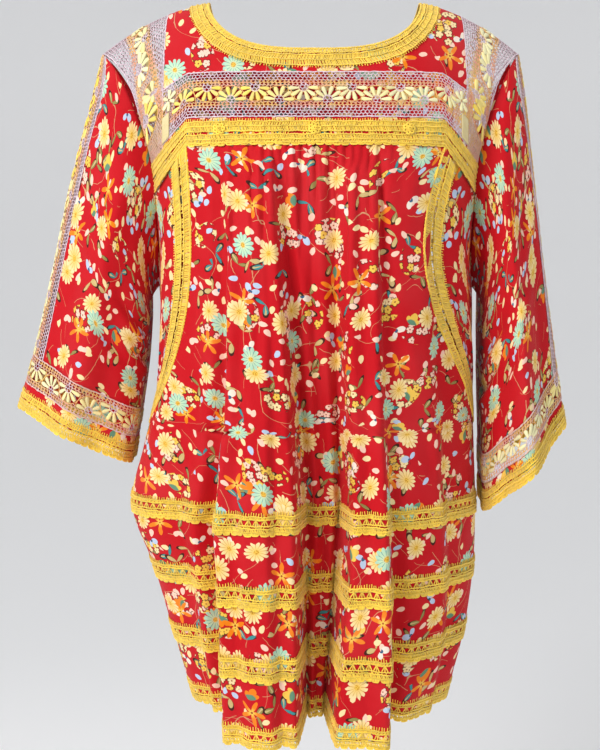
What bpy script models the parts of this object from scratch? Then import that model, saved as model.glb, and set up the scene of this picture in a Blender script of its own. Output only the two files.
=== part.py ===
"""Drawn-thread blouse with crocheted trims, hanging as it is worn, with nothing inside it.

Metres, +Z up. The front faces -Y and the origin lies midway between the two neck points, at the top of
the shoulders. Each cut piece of cloth and each trim is one object: an open sheet laid on one shared surface
of the garment and thickened inwards.
"""

import math

import bmesh
import bpy
import numpy as np

# Thicknesses and clearances
CLOTH = 0.0012
CROCHET = 0.0015
SEAM_GAP = 0.0002
LYING_GAP = 0.0005
CUFF_GAP = 0.0005

# Heights on the body, from the yoke seam down
YOKE_SEAM = -0.152
YOKE_CORNER_DROP = 0.042
UNDERARM = -0.285
SIDE_PANEL_FOOT = -0.418
TIER_TOPS = (-0.502, -0.570, -0.636)
TIER_DEPTH = 0.020
CLOTH_HEM = -0.700
HEM_EDGE = -0.7195

# Widths across the top
NECK_HALF = 0.108
DROP_START = 0.125
YOKE_INSET_HALF = 0.150
SIDE_INNER = 0.141
CORNER_HALF = 0.161
SHOULDER_HALF = {-1: 0.219, 1: 0.211}
SHOULDER_DROP = 0.050
SHOULDER_Y = 0.005
SIDE_PANEL_BULGE = {-1: 0.02, 1: 0.24}

# Bands and trims
NECK_TRIM = 0.018
YOKE_TRIM = 0.024
SIDE_TRIM = 0.015
FRONT_BAND = 0.048
RED_STRIP = 0.004
SLEEVE_BAND = 0.056
CUFF_BAND = 0.030
CUFF_BORDER = 0.009
CUFF_TRIM = 0.020
FAN_PITCH = 0.0265

# Sections of the hanging body: height, half width at -X, half width at +X, depth in front, depth behind
BODY_SECTIONS = (
    (-0.720, 0.128, 0.140, 0.084, 0.092),
    (-0.650, 0.148, 0.157, 0.088, 0.098),
    (-0.580, 0.168, 0.166, 0.091, 0.104),
    (-0.515, 0.190, 0.167, 0.094, 0.108),
    (-0.455, 0.177, 0.165, 0.099, 0.108),
    (-0.400, 0.164, 0.163, 0.106, 0.106),
    (-0.330, 0.159, 0.162, 0.115, 0.104),
    (-0.260, 0.161, 0.161, 0.121, 0.103),
    (-0.200, 0.165, 0.165, 0.122, 0.102),
    (-0.140, 0.169, 0.169, 0.117, 0.100),
)
SQUARENESS = 2.5
LOBE_DROOP = 0.22

# Fold lines down the front, from the -X side seam to the +X one: place across at the yoke, at the first tier
# and at the hem, then how far the cloth stands out there, all in millimetres
FOLD_LEVELS = (-0.150, -0.500, -0.720)
FRONT_FOLDS = (
    (-150, -168, -118, 1, 7, 4),
    (-124, -134, -104, 0, 1, 0),
    (-106, -113, -96, 3, 13, 10),
    (-94, -97, -82, 0, 3, 1),
    (-82, -82, -66, 5, 50, 62),
    (-73, -70, -57, 1, 48, 60),
    (-62, -56, -45, 7, 56, 68),
    (-54, -42, -32, 4, 58, 70),
    (-50, -34, -24, 6, 50, 60),
    (-46, -20, -15, 6, 52, 62),
    (-38, -8, -8, -1, 4, 0),
    (-24, 2, -3, 5, 12, 9),
    (-12, 10, 1, 0, 8, 5),
    (0, 17, 5, 5, 10, 6),
    (18, 24, 9, -1, 1, -2),
    (29, 34, 17, 7, 50, 62),
    (40, 44, 35, 4, 48, 64),
    (49, 55, 53, 7, 56, 70),
    (61, 66, 66, -1, 34, 14),
    (72, 78, 80, 5, 36, 22),
    (96, 108, 106, 5, 30, 15),
    (112, 128, 120, 1, 10, 3),
    (140, 148, 130, 1, 7, 4),
)
# The same down the back, from +X to -X
BACK_FOLDS = (
    (138, 146, 122, 1, 5, 3),
    (110, 116, 104, 0, 1, 0),
    (92, 94, 88, 4, 34, 42),
    (66, 66, 60, 4, 38, 46),
    (54, 50, 46, 0, 5, 1),
    (34, 30, 28, 5, 12, 9),
    (16, 14, 14, 0, 2, -1),
    (2, 0, 0, 5, 36, 44),
    (-26, -28, -26, 5, 40, 48),
    (-42, -46, -42, 0, 6, 2),
    (-64, -66, -60, 5, 26, 20),
    (-88, -94, -84, 4, 28, 18),
    (-106, -114, -102, 0, 3, 0),
    (-140, -150, -120, 1, 6, 4),
)

# Sections of each sleeve: share of its length, outer x and z, inner x and z, middle y, half depth.
# x is counted outwards from the middle of the blouse.
SLEEVES = {
    "right": (
        -1,
        (
            (0.00, 0.219, -0.050, 0.161, -0.285, 0.006, 0.080),
            (0.15, 0.229, -0.090, 0.171, -0.300, 0.006, 0.077),
            (0.35, 0.252, -0.175, 0.173, -0.330, 0.008, 0.073),
            (0.60, 0.274, -0.276, 0.178, -0.376, 0.013, 0.068),
            (0.80, 0.292, -0.348, 0.186, -0.424, 0.018, 0.065),
            (1.00, 0.313, -0.416, 0.195, -0.474, 0.022, 0.061),
        ),
        (
            (0.10, 3, 5), (0.17, 0, 0), (0.24, 4, 9), (0.32, 0, -2), (0.40, 3, 7),
            (0.50, 0, 0), (0.62, 3, 7), (0.72, 0, -1), (0.82, 3, 8), (0.90, 0, 0),
        ),
    ),
    "left": (
        1,
        (
            (0.00, 0.211, -0.055, 0.161, -0.285, 0.006, 0.080),
            (0.15, 0.217, -0.095, 0.172, -0.302, 0.002, 0.080),
            (0.35, 0.227, -0.188, 0.173, -0.348, -0.002, 0.080),
            (0.60, 0.237, -0.285, 0.174, -0.405, -0.005, 0.079),
            (0.80, 0.247, -0.362, 0.176, -0.458, -0.007, 0.077),
            (1.00, 0.258, -0.432, 0.178, -0.517, -0.008, 0.075),
        ),
        (
            (0.08, 2, 6), (0.155, 0, -6), (0.26, 4, 10), (0.35, 0, -3), (0.42, 3, 8),
            (0.52, 0, 0), (0.62, 3, 7), (0.72, 0, -2), (0.82, 3, 8), (0.91, 0, 0),
        ),
    ),
}
# How far the band down each sleeve has swung to the front: share down the sleeve, share of its girth
BAND_SWING = {
    "right": ((0.0, 0.0), (0.2, 0.035), (0.45, 0.060), (1.0, 0.062)),
    "left": ((0.0, 0.0), (0.2, 0.016), (0.45, 0.026), (1.0, 0.044)),
}
# How much narrower the sleeve is towards its outer edge, where it hangs flat
OUTER_PINCH = 0.30

# Red, yellow and lilac of the cloth, crochet and needlework: colour, roughness
MATERIALS = {
    "print_cloth": ((0.62, 0.01, 0.02, 1.0), 0.75),
    "yellow_crochet": ((0.83, 0.55, 0.04, 1.0), 0.85),
    "drawn_work": ((0.70, 0.55, 0.42, 1.0), 0.80),
}


def smoothstep(t):
    t = np.clip(t, 0.0, 1.0)
    return t * t * (3.0 - 2.0 * t)


def unit(vectors):
    return vectors / np.linalg.norm(vectors, axis=-1, keepdims=True)


def through_rows(at, rows):
    """The other columns of a table at these values of its first column, on smooth curves."""
    table = np.array(sorted(rows), float)
    keys, values = table[:, 0], table[:, 1:]
    slopes = np.gradient(values, keys, axis=0)
    at = np.clip(np.asarray(at, float), keys[0], keys[-1])
    i = np.clip(np.searchsorted(keys, at) - 1, 0, len(keys) - 2)
    step = (keys[i + 1] - keys[i])[..., None]
    t = (at[..., None] - keys[i][..., None]) / step
    start = (1 + 2 * t) * (1 - t) ** 2 * values[i] + t * (1 - t) ** 2 * step * slopes[i]
    end = t * t * (3 - 2 * t) * values[i + 1] - t * t * (1 - t) * step * slopes[i + 1]
    return np.moveaxis(start + end, -1, 0)


def plain_body(angle, z):
    """x, y on the body without its folds, and the outward direction. Angle 0 is the front, 90 degrees +X."""
    low, high, front, back = through_rows(z, BODY_SECTIONS)
    s, c = np.sin(angle), np.cos(angle)
    full = (np.abs(s) ** SQUARENESS + np.abs(c) ** SQUARENESS) ** (-1 / SQUARENESS)
    half = np.where(s < 0, low, high)
    depth = np.where(c > 0, front, back)
    out = unit(np.stack([s * full / half, -c * full / depth], -1))
    return half * s * full, -depth * c * full, out


def angle_at(x, z, behind=False):
    """The angle at which the plain body reaches this x, in front or behind."""
    angles = np.linspace(-math.pi / 2, math.pi / 2, 721)
    found = np.interp(x, plain_body(angles, np.full(721, z))[0], angles)
    return math.pi - found if behind else found


def fold_lines():
    """Angle and height of every fold line at each of the three levels, round the body from -X to -X."""
    angles, heights = [np.full(3, -math.pi / 2)], [np.zeros(3)]
    for behind, table in ((False, FRONT_FOLDS), (True, BACK_FOLDS)):
        for row in table:
            angles.append(np.array([angle_at(row[k] / 1000, FOLD_LEVELS[k], behind) for k in range(3)]))
            heights.append(np.array(row[3:]) / 1000)
        angles.append(np.full(3, math.pi * (1.5 if behind else 0.5)))
        heights.append(np.zeros(3))
    return np.array(angles), np.array(heights)


LINE_ANGLES, LINE_HEIGHTS = fold_lines()


def lines_at(z):
    """Angles and heights of the fold lines at these heights of the body."""
    z = np.asarray(z, float)[..., None]
    top, middle, low = FOLD_LEVELS
    upper = np.clip((top - z) / (top - middle), 0, 1)
    lower = np.clip((middle - z) / (middle - low), 0, 1)
    found = []
    for table in (LINE_ANGLES, LINE_HEIGHTS):
        a, b, c = table.T
        found.append(a + (b - a) * upper + (c - b) * lower)
    return found


def seam_height(x):
    """Height of the seam between yoke and body: level across the middle, falling to the armholes."""
    beyond = (np.abs(x) - DROP_START) / (CORNER_HALF - DROP_START)
    return YOKE_SEAM - YOKE_CORNER_DROP * np.clip(beyond, 0, 1.2)


def body_point(angle, z):
    """Points on the hanging body, with its folds."""
    angle, z = np.broadcast_arrays(np.asarray(angle, float), np.asarray(z, float))
    x, y, out = plain_body(angle, z)
    angles, heights = lines_at(z)
    turned = (angle + math.pi / 2) % (2 * math.pi) - math.pi / 2
    k = np.clip((angles <= turned[..., None]).sum(-1) - 1, 0, angles.shape[-1] - 2)[..., None]
    first, second = (np.take_along_axis(angles, k + n, -1)[..., 0] for n in (0, 1))
    low, high = (np.take_along_axis(heights, k + n, -1)[..., 0] for n in (0, 1))
    lift = low + (high - low) * smoothstep((turned - first) / (second - first))
    lift *= smoothstep((YOKE_SEAM - z) / 0.035)
    droop = LOBE_DROOP * np.clip(lift, 0, None) * smoothstep((-0.45 - z) / 0.30)
    return np.stack([x + out[..., 0] * lift, y + out[..., 1] * lift, z - droop], -1)


def side_turn(z, foot, top_x, sign, behind):
    """Angle, from the middle, of the U round the side panel that starts at top_x on the yoke seam."""
    reach = math.pi / 2 - float(angle_at(top_x, YOKE_SEAM))
    k = min(max((YOKE_SEAM - z) / (YOKE_SEAM - foot), 0.0), 1.0)
    bulge = 0.02 if behind else SIDE_PANEL_BULGE[sign]
    wider = 1 + bulge * math.sin(math.pi * min(1.2 * k, 1.0))
    return math.pi / 2 - reach * (1 - k**2.6) ** (1 / 2.6) * wider


def armhole_half(t, sign=1):
    """Half width of the shoulders' surface at the armhole, from the seam, t = 0, to the ridge, t = 1."""
    tip = np.where(np.asarray(sign) < 0, SHOULDER_HALF[-1], SHOULDER_HALF[1])
    return CORNER_HALF + (tip - CORNER_HALF) * smoothstep(t) ** 0.9


def yoke_point(x, t, behind=False):
    """Points on the shoulders: t runs from the yoke seam up to the ridge, in front or behind."""
    x, t = np.broadcast_arrays(np.asarray(x, float), np.asarray(t, float))
    t = np.clip(t, 0, 1)
    wide = np.abs(x)
    narrower = (CORNER_HALF - DROP_START) / (armhole_half(t, x) - DROP_START)
    foot_x = np.sign(x) * (np.minimum(wide, DROP_START) + np.clip(wide - DROP_START, 0, None) * narrower)
    foot_z = seam_height(foot_x)
    foot_angle = np.array([angle_at(a, b, behind) for a, b in zip(foot_x.ravel(), foot_z.ravel())])
    foot_y = plain_body(foot_angle.reshape(x.shape), foot_z)[1]
    tip = np.where(x < 0, SHOULDER_HALF[-1], SHOULDER_HALF[1])
    ridge_z = -SHOULDER_DROP * np.clip((wide - 0.100) / (tip - 0.100), 0, 1.1) ** 1.8
    way = 1.0 if behind else -1.0
    side = (wide / tip) ** 2
    ridge_y = SHOULDER_Y + 0.006 * side
    a, b, c, d = (1 - t) ** 3, 3 * t * (1 - t) ** 2, 3 * t * t * (1 - t), t**3
    y = a * foot_y + b * (foot_y - 0.008 * way * (1 - side))
    y = y + c * (ridge_y + (0.058 - 0.022 * side) * way) + d * ridge_y
    z = a * foot_z + b * (foot_z + 0.060 + 0.012 * side) + c * (ridge_z - 0.002) + d * ridge_z
    return np.stack([x, y, z], -1)


def yoke_share(distance, behind=False):
    """The t of yoke_point at this distance above the seam, measured up the middle of the yoke."""
    steps = np.linspace(0, 1, 201)
    return np.interp(distance, run_along(yoke_point(np.zeros(201), steps, behind)), steps)


def run_along(points):
    """Distance run along a line of points, from its first."""
    return np.concatenate([[0], np.cumsum(np.linalg.norm(np.diff(points, axis=0), axis=1))])


CORNER_Z = float(seam_height(CORNER_HALF))
CORNER_SWING = math.pi / 2 - float(angle_at(CORNER_HALF, CORNER_Z))


def under_arm(sign, swing, behind=False):
    """The armhole below the yoke, by its angle away from the side of the body."""
    z = CORNER_Z + (UNDERARM - CORNER_Z) * np.cos(swing / CORNER_SWING * math.pi / 2) ** 0.8
    angle = math.pi / 2 + (swing if behind else -swing)
    x, y, _ = plain_body(sign * angle, z)
    return np.stack([x, y, z], -1)


def armhole_table(sign, count=161):
    """Both halves of an armhole: marks (+1 shoulder tip, 0 yoke corner, -1 under the arm), shares, points."""
    marks = np.linspace(1, -1, 2 * count - 1)
    halves = []
    for behind in (False, True):
        upper = yoke_point(sign * armhole_half(marks[:count], sign), marks[:count], behind)
        lower = under_arm(sign, CORNER_SWING * (1 + marks[count:]), behind)
        points = np.concatenate([upper, lower])
        run = run_along(points)
        halves.append((marks, run / run[-1], points))
    return halves


ARMHOLES = {sign: armhole_table(sign) for sign in (-1, 1)}


def armhole_share(sign, mark, behind=False):
    """Share round the armhole of a mark: 0 the shoulder tip, then down the front, 0.5 under the arm."""
    marks, run, _ = ARMHOLES[sign][int(behind)]
    half = 0.5 * np.interp(mark, marks[::-1], run[::-1])
    return 1 - half if behind else half


def armhole_point(sign, s):
    """A point of the armhole at this share round it."""
    s = np.asarray(s, float) % 1.0
    found = np.zeros(s.shape + (3,))
    for half, place in ((0, s * 2), (1, (1 - s) * 2)):
        _, run, points = ARMHOLES[sign][half]
        for k in range(3):
            value = np.interp(place, run, points[:, k])
            found[..., k] = np.where((s <= 0.5) == (half == 0), value, found[..., k])
    return found


def sleeve_point(side, s, t):
    """Points on a sleeve: s round the arm, t from the armhole to the edge of the cuff."""
    sign, rows, folds = SLEEVES[side]
    s, t = np.broadcast_arrays(np.asarray(s, float), np.asarray(t, float))
    turn = 2 * math.pi * s
    across, down = np.cos(turn), np.sin(turn)
    full = (np.abs(across) ** 2.3 + np.abs(down) ** 2.3) ** (-1 / 2.3)

    def ring(share):
        outer_x, outer_z, inner_x, inner_z, middle_y, deep = through_rows(share, rows)
        x = (outer_x + inner_x) / 2 + (outer_x - inner_x) / 2 * across * full
        z = (outer_z + inner_z) / 2 + (outer_z - inner_z) / 2 * across * full
        length = np.hypot(outer_x - inner_x, outer_z - inner_z)
        slant_x, slant_z = (outer_x - inner_x) / length, (outer_z - inner_z) / length
        out = np.stack([slant_x * across, -down, slant_z * across], -1)
        pinch = 1 - OUTER_PINCH * np.clip(across * full, 0, 1) * smoothstep(share / 0.3)
        return np.stack([x, middle_y - deep * down * full * pinch, z], -1), out

    point, out = ring(t)
    start, _ = ring(np.zeros(t.shape))
    hole = armhole_point(sign, s) * np.array([sign, 1, 1])
    point = point + (hole - start) * (np.clip(1 - t, 0, 1) ** 4)[..., None]
    places = np.array([0.0] + [row[0] for row in folds] + [1.0])
    upper = np.array([0.0] + [row[1] for row in folds] + [0.0]) / 1000
    lower = np.array([0.0] + [row[2] for row in folds] + [0.0]) / 1000
    turned = s % 1.0
    k = np.clip(np.searchsorted(places, turned) - 1, 0, len(places) - 2)
    share = smoothstep((turned - places[k]) / (places[k + 1] - places[k]))
    first = upper[k] + (upper[k + 1] - upper[k]) * share
    second = lower[k] + (lower[k + 1] - lower[k]) * share
    lift = (first + (second - first) * t) * smoothstep(t / 0.25)
    return (point + out * lift[..., None]) * np.array([sign, 1, 1])


def sleeve_level(side, s, distance):
    """The t that lies this distance above the edge of the cuff."""
    s = np.asarray(s, float)
    near, edge = sleeve_point(side, s, np.full(s.shape, 0.85)), sleeve_point(side, s, np.full(s.shape, 1.0))
    return 1 - distance / (np.linalg.norm(edge - near, axis=-1) / 0.15)


def band_swing(side, level):
    """How far the middle of the sleeve's band lies in front of its outer edge, as a share of the girth."""
    table = np.array(BAND_SWING[side])
    return np.interp(level, table[:, 0], table[:, 1])


def facing_out(place, a, b, inside, steps=(2e-4, 2e-4)):
    """Unit normals of a surface at its parameters a and b, pointing away from the inside of the garment."""
    a, b = np.broadcast_arrays(np.asarray(a, float), np.asarray(b, float))
    along = place(a + steps[0], b) - place(a - steps[0], b)
    across = place(a, b + steps[1]) - place(a, b - steps[1])
    normal = unit(np.cross(along, across))
    away = (normal * (place(a, b) - np.array(inside, float))).sum()
    return normal if away > 0 else -normal


def armhole_directions(side):
    """Directions of thickness round an armhole, shared by the sleeve and what it is sewn to."""
    sign = SLEEVES[side][0]
    s = np.linspace(0, 1, 241)[:-1]
    near, inside = np.full(s.shape, 0.006), (sign * 0.21, 0, -0.2)
    own = facing_out(lambda a, b: sleeve_point(side, a, b), s, near, inside, (1e-4, 5e-4))
    other = np.zeros(own.shape)
    for behind in (False, True):
        marks, run, points = ARMHOLES[sign][int(behind)]
        half = np.where(s <= 0.5, s * 2, (1 - s) * 2)
        here = (s > 0.5) if behind else (s <= 0.5)
        mark = np.interp(half, run, marks)
        level = np.clip(mark, 0.002, 0.998)
        edge = sign * armhole_half(level, sign) * 0.999
        plate = facing_out(lambda a, b: yoke_point(a, b, behind), edge, level, (0, 0, -0.2), (1e-4, 1e-3))
        turn = math.pi / 2 + CORNER_SWING * (1 + np.clip(mark, -1, 0)) * (1 if behind else -1)
        flat = plain_body(sign * turn, np.interp(half, run, points[:, 2]))[2]
        below = np.concatenate([flat, np.zeros((len(flat), 1))], axis=1)
        normal = np.where((mark > 0)[:, None], plate, below)
        other[here] = normal[here]
    agree = (own * other).sum(-1, keepdims=True)
    both = unit(own + other + 1e-9)
    weight = smoothstep(agree / 0.35)
    return {"sleeve": unit(own + (both - own) * weight), "body": unit(other + (both - other) * weight)}


ARMHOLE_OUT = {side: armhole_directions(side) for side in SLEEVES}


def armhole_out(side, part, s):
    """The shared direction of thickness at a share round the armhole."""
    table = ARMHOLE_OUT[side][part]
    place = (np.asarray(s, float) % 1.0) * 240
    k = np.floor(place).astype(int) % 240
    share = (place - np.floor(place))[..., None]
    return unit(table[k] * (1 - share) + table[(k + 1) % 240] * share)


def material(name, finish):
    """The piece's own Principled material, in one of the finishes."""
    colour, roughness = MATERIALS[finish]
    made = bpy.data.materials.new(name)
    made.use_nodes = True
    shader = made.node_tree.nodes["Principled BSDF"]
    shader.inputs["Base Color"].default_value = colour
    shader.inputs["Roughness"].default_value = roughness
    shader.inputs["Metallic"].default_value = 0.0
    return made


def thicken(name, points, out, faces, finish, thickness, lift=0.0):
    """An open sheet of triangles made into a wall: its outer side at the points, its inner one further in."""
    a, b, c = (points[faces[:, k]] for k in range(3))
    if (np.cross(b - a, c - a) * out[faces[:, 0]]).sum() < 0:
        faces = faces[:, ::-1]
    count = len(points)
    outer, inner = points + out * lift, points + out * (lift - thickness)
    edges = np.concatenate([faces[:, [0, 1]], faces[:, [1, 2]], faces[:, [2, 0]]])
    known = {tuple(edge) for edge in edges}
    rims = []
    for i, j in edges:
        if (j, i) not in known:
            rims += [(j, i, i + count), (j, i + count, j + count)]
    mesh = bpy.data.meshes.new(name)
    whole = np.concatenate([faces, faces[:, ::-1] + count, np.array(rims)])
    mesh.from_pydata(np.concatenate([outer, inner]).tolist(), [], whole.tolist())
    mesh.shade_smooth()
    mesh.materials.append(material(name, finish))
    made = bpy.data.objects.new(name, mesh)
    blouse.objects.link(made)
    return made


def pulled_in(points, closed, gap):
    """The grid with its free edges drawn in by the seam gap."""
    moved = points.copy()
    for row, nearer in ((0, 1), (-1, -2)):
        moved[row] += unit(points[nearer] - points[row]) * gap
    if not closed:
        for column, nearer in ((0, 1), (-1, -2)):
            moved[:, column] += unit(points[:, nearer] - points[:, column]) * gap
    return moved


def sheet(name, points, out, finish="print_cloth", thickness=CLOTH, closed=False, lift=0.0, gap=SEAM_GAP):
    """A panel or trim laid on a grid of points, rows down and columns across, and moved out by lift."""
    rows, columns = points.shape[:2]
    moved = pulled_in(points, closed, gap) if gap else points
    index = np.arange(rows * columns).reshape(rows, columns)
    faces = []
    for i in range(rows - 1):
        for j in range(columns if closed else columns - 1):
            k = (j + 1) % columns
            p, q, r, s = index[i, j], index[i, k], index[i + 1, k], index[i + 1, j]
            down, up = points[i + 1, k] - points[i, j], points[i, k] - points[i + 1, j]
            shorter = np.linalg.norm(down) < np.linalg.norm(up)
            faces += [(p, q, r), (p, r, s)] if shorter else [(p, q, s), (q, r, s)]
    flat = (rows * columns, 3)
    return thicken(name, moved.reshape(flat), out.reshape(flat), np.array(faces), finish, thickness, lift)


def fan_gaps(centre, middle, up):
    """The wedge-shaped gaps of one fan that are wide enough to be cut."""
    hub_radius, rim_radius, hub_drop, half_gap = 0.0045, 0.0132, 0.0055, 11.0
    loops = []
    for turn in (56.0, 124.0):
        rim = [(rim_radius, math.radians(turn + side * half_gap)) for side in (-1, 1)]
        corners = ((hub_radius, math.radians(turn)), *rim)
        loops.append(
            [
                (centre + r * math.cos(a), middle + up * (r * math.sin(a) - hub_drop))
                for r, a in corners
            ]
        )
    return loops


def cutwork(name, place, stops, low, high, middle, inside, redirect=None, cut=None, gap=SEAM_GAP):
    """A drawn-thread band, one fan from each stop to the next, with the fans' widest gaps cut through.

    place lays distances along and across on the surface; low and high are the band's edges along it.
    """
    bm = bmesh.new()
    for k in range(len(stops) - 1):
        ends = []
        for a in stops[k : k + 2]:
            inset = gap if a == stops[0] else (-gap if a == stops[-1] else 0.0)
            bottom, top = low(a) + gap, high(a) - gap
            across = (bottom, (bottom + top) / 2, top) if top - bottom > 0.020 else (bottom, top)
            ends.append([(a + inset, b) for b in across])
        loops = [[*ends[0][::-1], *ends[1]]]
        centre = (stops[k] + stops[k + 1]) / 2
        if cut is None or cut(centre):
            loops += fan_gaps(centre, middle, 1 if k % 2 == 0 else -1)
        edges = []
        for loop in loops:
            vertices = [bm.verts.new((a, b, 0)) for a, b in loop]
            edges += [bm.edges.new((v, vertices[(i + 1) % len(vertices)])) for i, v in enumerate(vertices)]
        bmesh.ops.triangle_fill(bm, edges=edges, use_beauty=True, normal=(0, 0, 1))
    bmesh.ops.remove_doubles(bm, verts=bm.verts, dist=0.00001)
    bmesh.ops.recalc_face_normals(bm, faces=bm.faces)
    bm.verts.index_update()
    flat = np.array([vertex.co for vertex in bm.verts], float)
    faces = np.array([[vertex.index for vertex in face.verts] for face in bm.faces])
    bm.free()
    a, b = flat[:, 0], flat[:, 1]
    out = facing_out(place, a, b, inside)
    if redirect is not None:
        out = redirect(a, b, out)
    return thicken(name, place(a, b), out, faces, "drawn_work", CLOTH)


FRONT_LAST = len(FRONT_FOLDS) + 1
BACK_LAST = FRONT_LAST + len(BACK_FOLDS) + 1
INNER_LINES = {False: (3, FRONT_LAST - 3), True: (FRONT_LAST + 3, BACK_LAST - 3)}
SIDE_ROWS = (-0.190, -0.240, -0.300, -0.350, -0.385, -0.405)
OUTER_FOOT = SIDE_PANEL_FOOT - SIDE_TRIM


def body_columns(first, last):
    """Fold-line places between two lines, with one between where the next line is far."""
    places = [float(first)]
    for k in range(first, last):
        wide = LINE_ANGLES[k + 1, 1] - LINE_ANGLES[k, 1] > 0.13
        places += ([k + 0.5] if wide else []) + [float(k + 1)]
    return places


def body_surface(rows, behind):
    """Angles and heights of a panel's grid: inner columns follow the folds, outer ones fan to the side."""
    middle = math.pi if behind else 0.0
    inner = body_columns(*INNER_LINES[behind])
    wing = np.linspace(0, 1, 5)[:-1]
    grid = []
    for z in rows:
        angles, _ = lines_at(z)
        fixed = np.interp(inner, np.arange(len(angles)), angles)
        ends = (1, -1) if behind else (-1, 1)
        first = middle - side_turn(z, OUTER_FOOT, DROP_START, ends[0], behind)
        last = middle + side_turn(z, OUTER_FOOT, DROP_START, ends[1], behind)
        ends = first + (fixed[0] - first) * wing, last + (fixed[-1] - last) * wing
        grid.append(np.concatenate([ends[0], fixed, ends[1][::-1]]))
    angle = np.array(grid)
    return angle, np.broadcast_to(np.array(rows)[:, None], angle.shape).copy()


def level_out(points):
    """Horizontal directions out of the plain body, shared by all that meets at the yoke seam."""
    angle = np.arctan2(points[..., 0], -points[..., 1])
    for _ in range(3):
        x, y, out = plain_body(angle, points[..., 2])
        angle = angle + np.arctan2(points[..., 0], -points[..., 1]) - np.arctan2(x, -y)
    return np.concatenate([out, np.zeros(out.shape[:-1] + (1,))], axis=-1)


def build_body():
    """Gathered front and back, their tiers of crochet, and the crocheted hem."""
    rows = [YOKE_SEAM, *SIDE_ROWS, OUTER_FOOT + 0.008, OUTER_FOOT, -0.466]
    rows += [height for top in TIER_TOPS for height in (top, top - TIER_DEPTH)] + [CLOTH_HEM]
    for label, behind in (("front", False), ("back", True)):
        angle, z = body_surface(rows, behind)
        points = body_point(angle, z)
        out = facing_out(body_point, angle, z, (0, 0, -0.45))
        out[0] = level_out(points[0])
        sheet(f"body_{label}", points, out)
        for n, top in enumerate(TIER_TOPS, 1):
            i = rows.index(top)
            sheet(
                f"tier_trim_{n}_{label}", points[i : i + 2], out[i : i + 2], "yellow_crochet", CROCHET,
                lift=LYING_GAP + CROCHET, gap=0.0,
            )
        angle, z = body_surface([CLOTH_HEM, HEM_EDGE], behind)
        out = facing_out(body_point, angle, z, (0, 0, -0.7))
        sheet(f"hem_trim_{label}", body_point(angle, z), out, "yellow_crochet")


def side_marks():
    """Marks on the lower armhole at which the side panel and the sleeve have a column."""
    return np.linspace(0, -1, 5)


def build_sides():
    """The panels under the arms and the crochet that outlines them."""
    for side in SLEEVES:
        sign = SLEEVES[side][0]
        marks = side_marks()
        swings = CORNER_SWING * (1 + marks)
        edge = np.concatenate([under_arm(sign, swings), under_arm(sign, swings[-2::-1], True)])
        share = np.concatenate([armhole_share(sign, marks), armhole_share(sign, marks[-2::-1], True)])
        front, back = (yoke_point(sign * SIDE_INNER, 0.0, behind)[None] for behind in (False, True))
        top = np.concatenate([front, edge, back])
        columns = len(top)
        rows = [YOKE_SEAM, *SIDE_ROWS, SIDE_PANEL_FOOT + 0.004, SIDE_PANEL_FOOT + 0.0006]
        last = rows[-1]
        angles = np.linspace(0, 1, columns)
        grid_angle, grid_z = [], []
        for z in rows[1:]:
            level, taper = (rows[-2], 0.13) if z == last else (z, 1.0)
            turns = [
                (math.pi / 2 - side_turn(level, SIDE_PANEL_FOOT, SIDE_INNER, sign, behind)) * taper
                for behind in (False, True)
            ]
            down = (YOKE_SEAM - z) / (YOKE_SEAM - last)
            grid_angle.append(sign * (math.pi / 2 - turns[0] + (turns[0] + turns[1]) * angles))
            dip = np.interp(angles, np.linspace(0, 1, columns), seam_height(SIDE_INNER) - top[:, 2])
            grid_z.append(z - dip * (1 - down))
        angle, z = np.array(grid_angle), np.array(grid_z)
        points = np.concatenate([top[None], body_point(angle, z)])
        out = facing_out(body_point, angle, z, (0, 0, -0.35))
        upper = level_out(top)
        upper[1:-1] = armhole_out(side, "body", share)
        sheet(f"side_panel_{side}", points, np.concatenate([upper[None], out]))

        lines = []
        outer = (OUTER_FOOT, DROP_START, (OUTER_FOOT + 0.008,))
        for foot, start, extra in ((SIDE_PANEL_FOOT, SIDE_INNER, ()), outer):
            heights = [YOKE_SEAM, *SIDE_ROWS, *extra]
            if not extra:
                heights.append(SIDE_PANEL_FOOT + 0.004)
            ahead = [(sign * side_turn(h, foot, start, sign, False), h) for h in heights]
            rear = [(sign * (math.pi - side_turn(h, foot, start, sign, True)), h) for h in heights]
            lines.append([*ahead, (sign * math.pi / 2, foot), *rear[::-1]])
        both = np.array(lines)
        points = body_point(both[..., 0], both[..., 1])
        out = facing_out(body_point, both[..., 0], both[..., 1], (0, 0, -0.30))
        for column, behind in ((0, False), (-1, True)):
            points[0, column] = yoke_point(sign * SIDE_INNER, 0.0, behind)
            points[1, column] = yoke_point(sign * DROP_START, 0.0, behind)
            out[:, column] = level_out(points[:, column])
        sheet(f"side_trim_{side}", points, out, "yellow_crochet")


BAND_COLUMNS = np.linspace(0.0, YOKE_INSET_HALF, 7)
NECK_SHARES = {False: 0.515, True: 0.46}


def neck_loop(angle, margin, behind):
    """x and t of the neck edge, moved out by a margin; angle 0 is the middle, 90 degrees the neck point."""
    e = 2 / 3.1
    x = (NECK_HALF + margin) * np.sin(angle) ** e
    t = 1 - (NECK_SHARES[behind] + margin / 0.185) * np.cos(angle) ** e
    return x, t


def mirrored(row, sign=1.0):
    """A half row, from the middle out, made whole."""
    return np.concatenate([sign * row[:0:-1], row])


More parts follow.
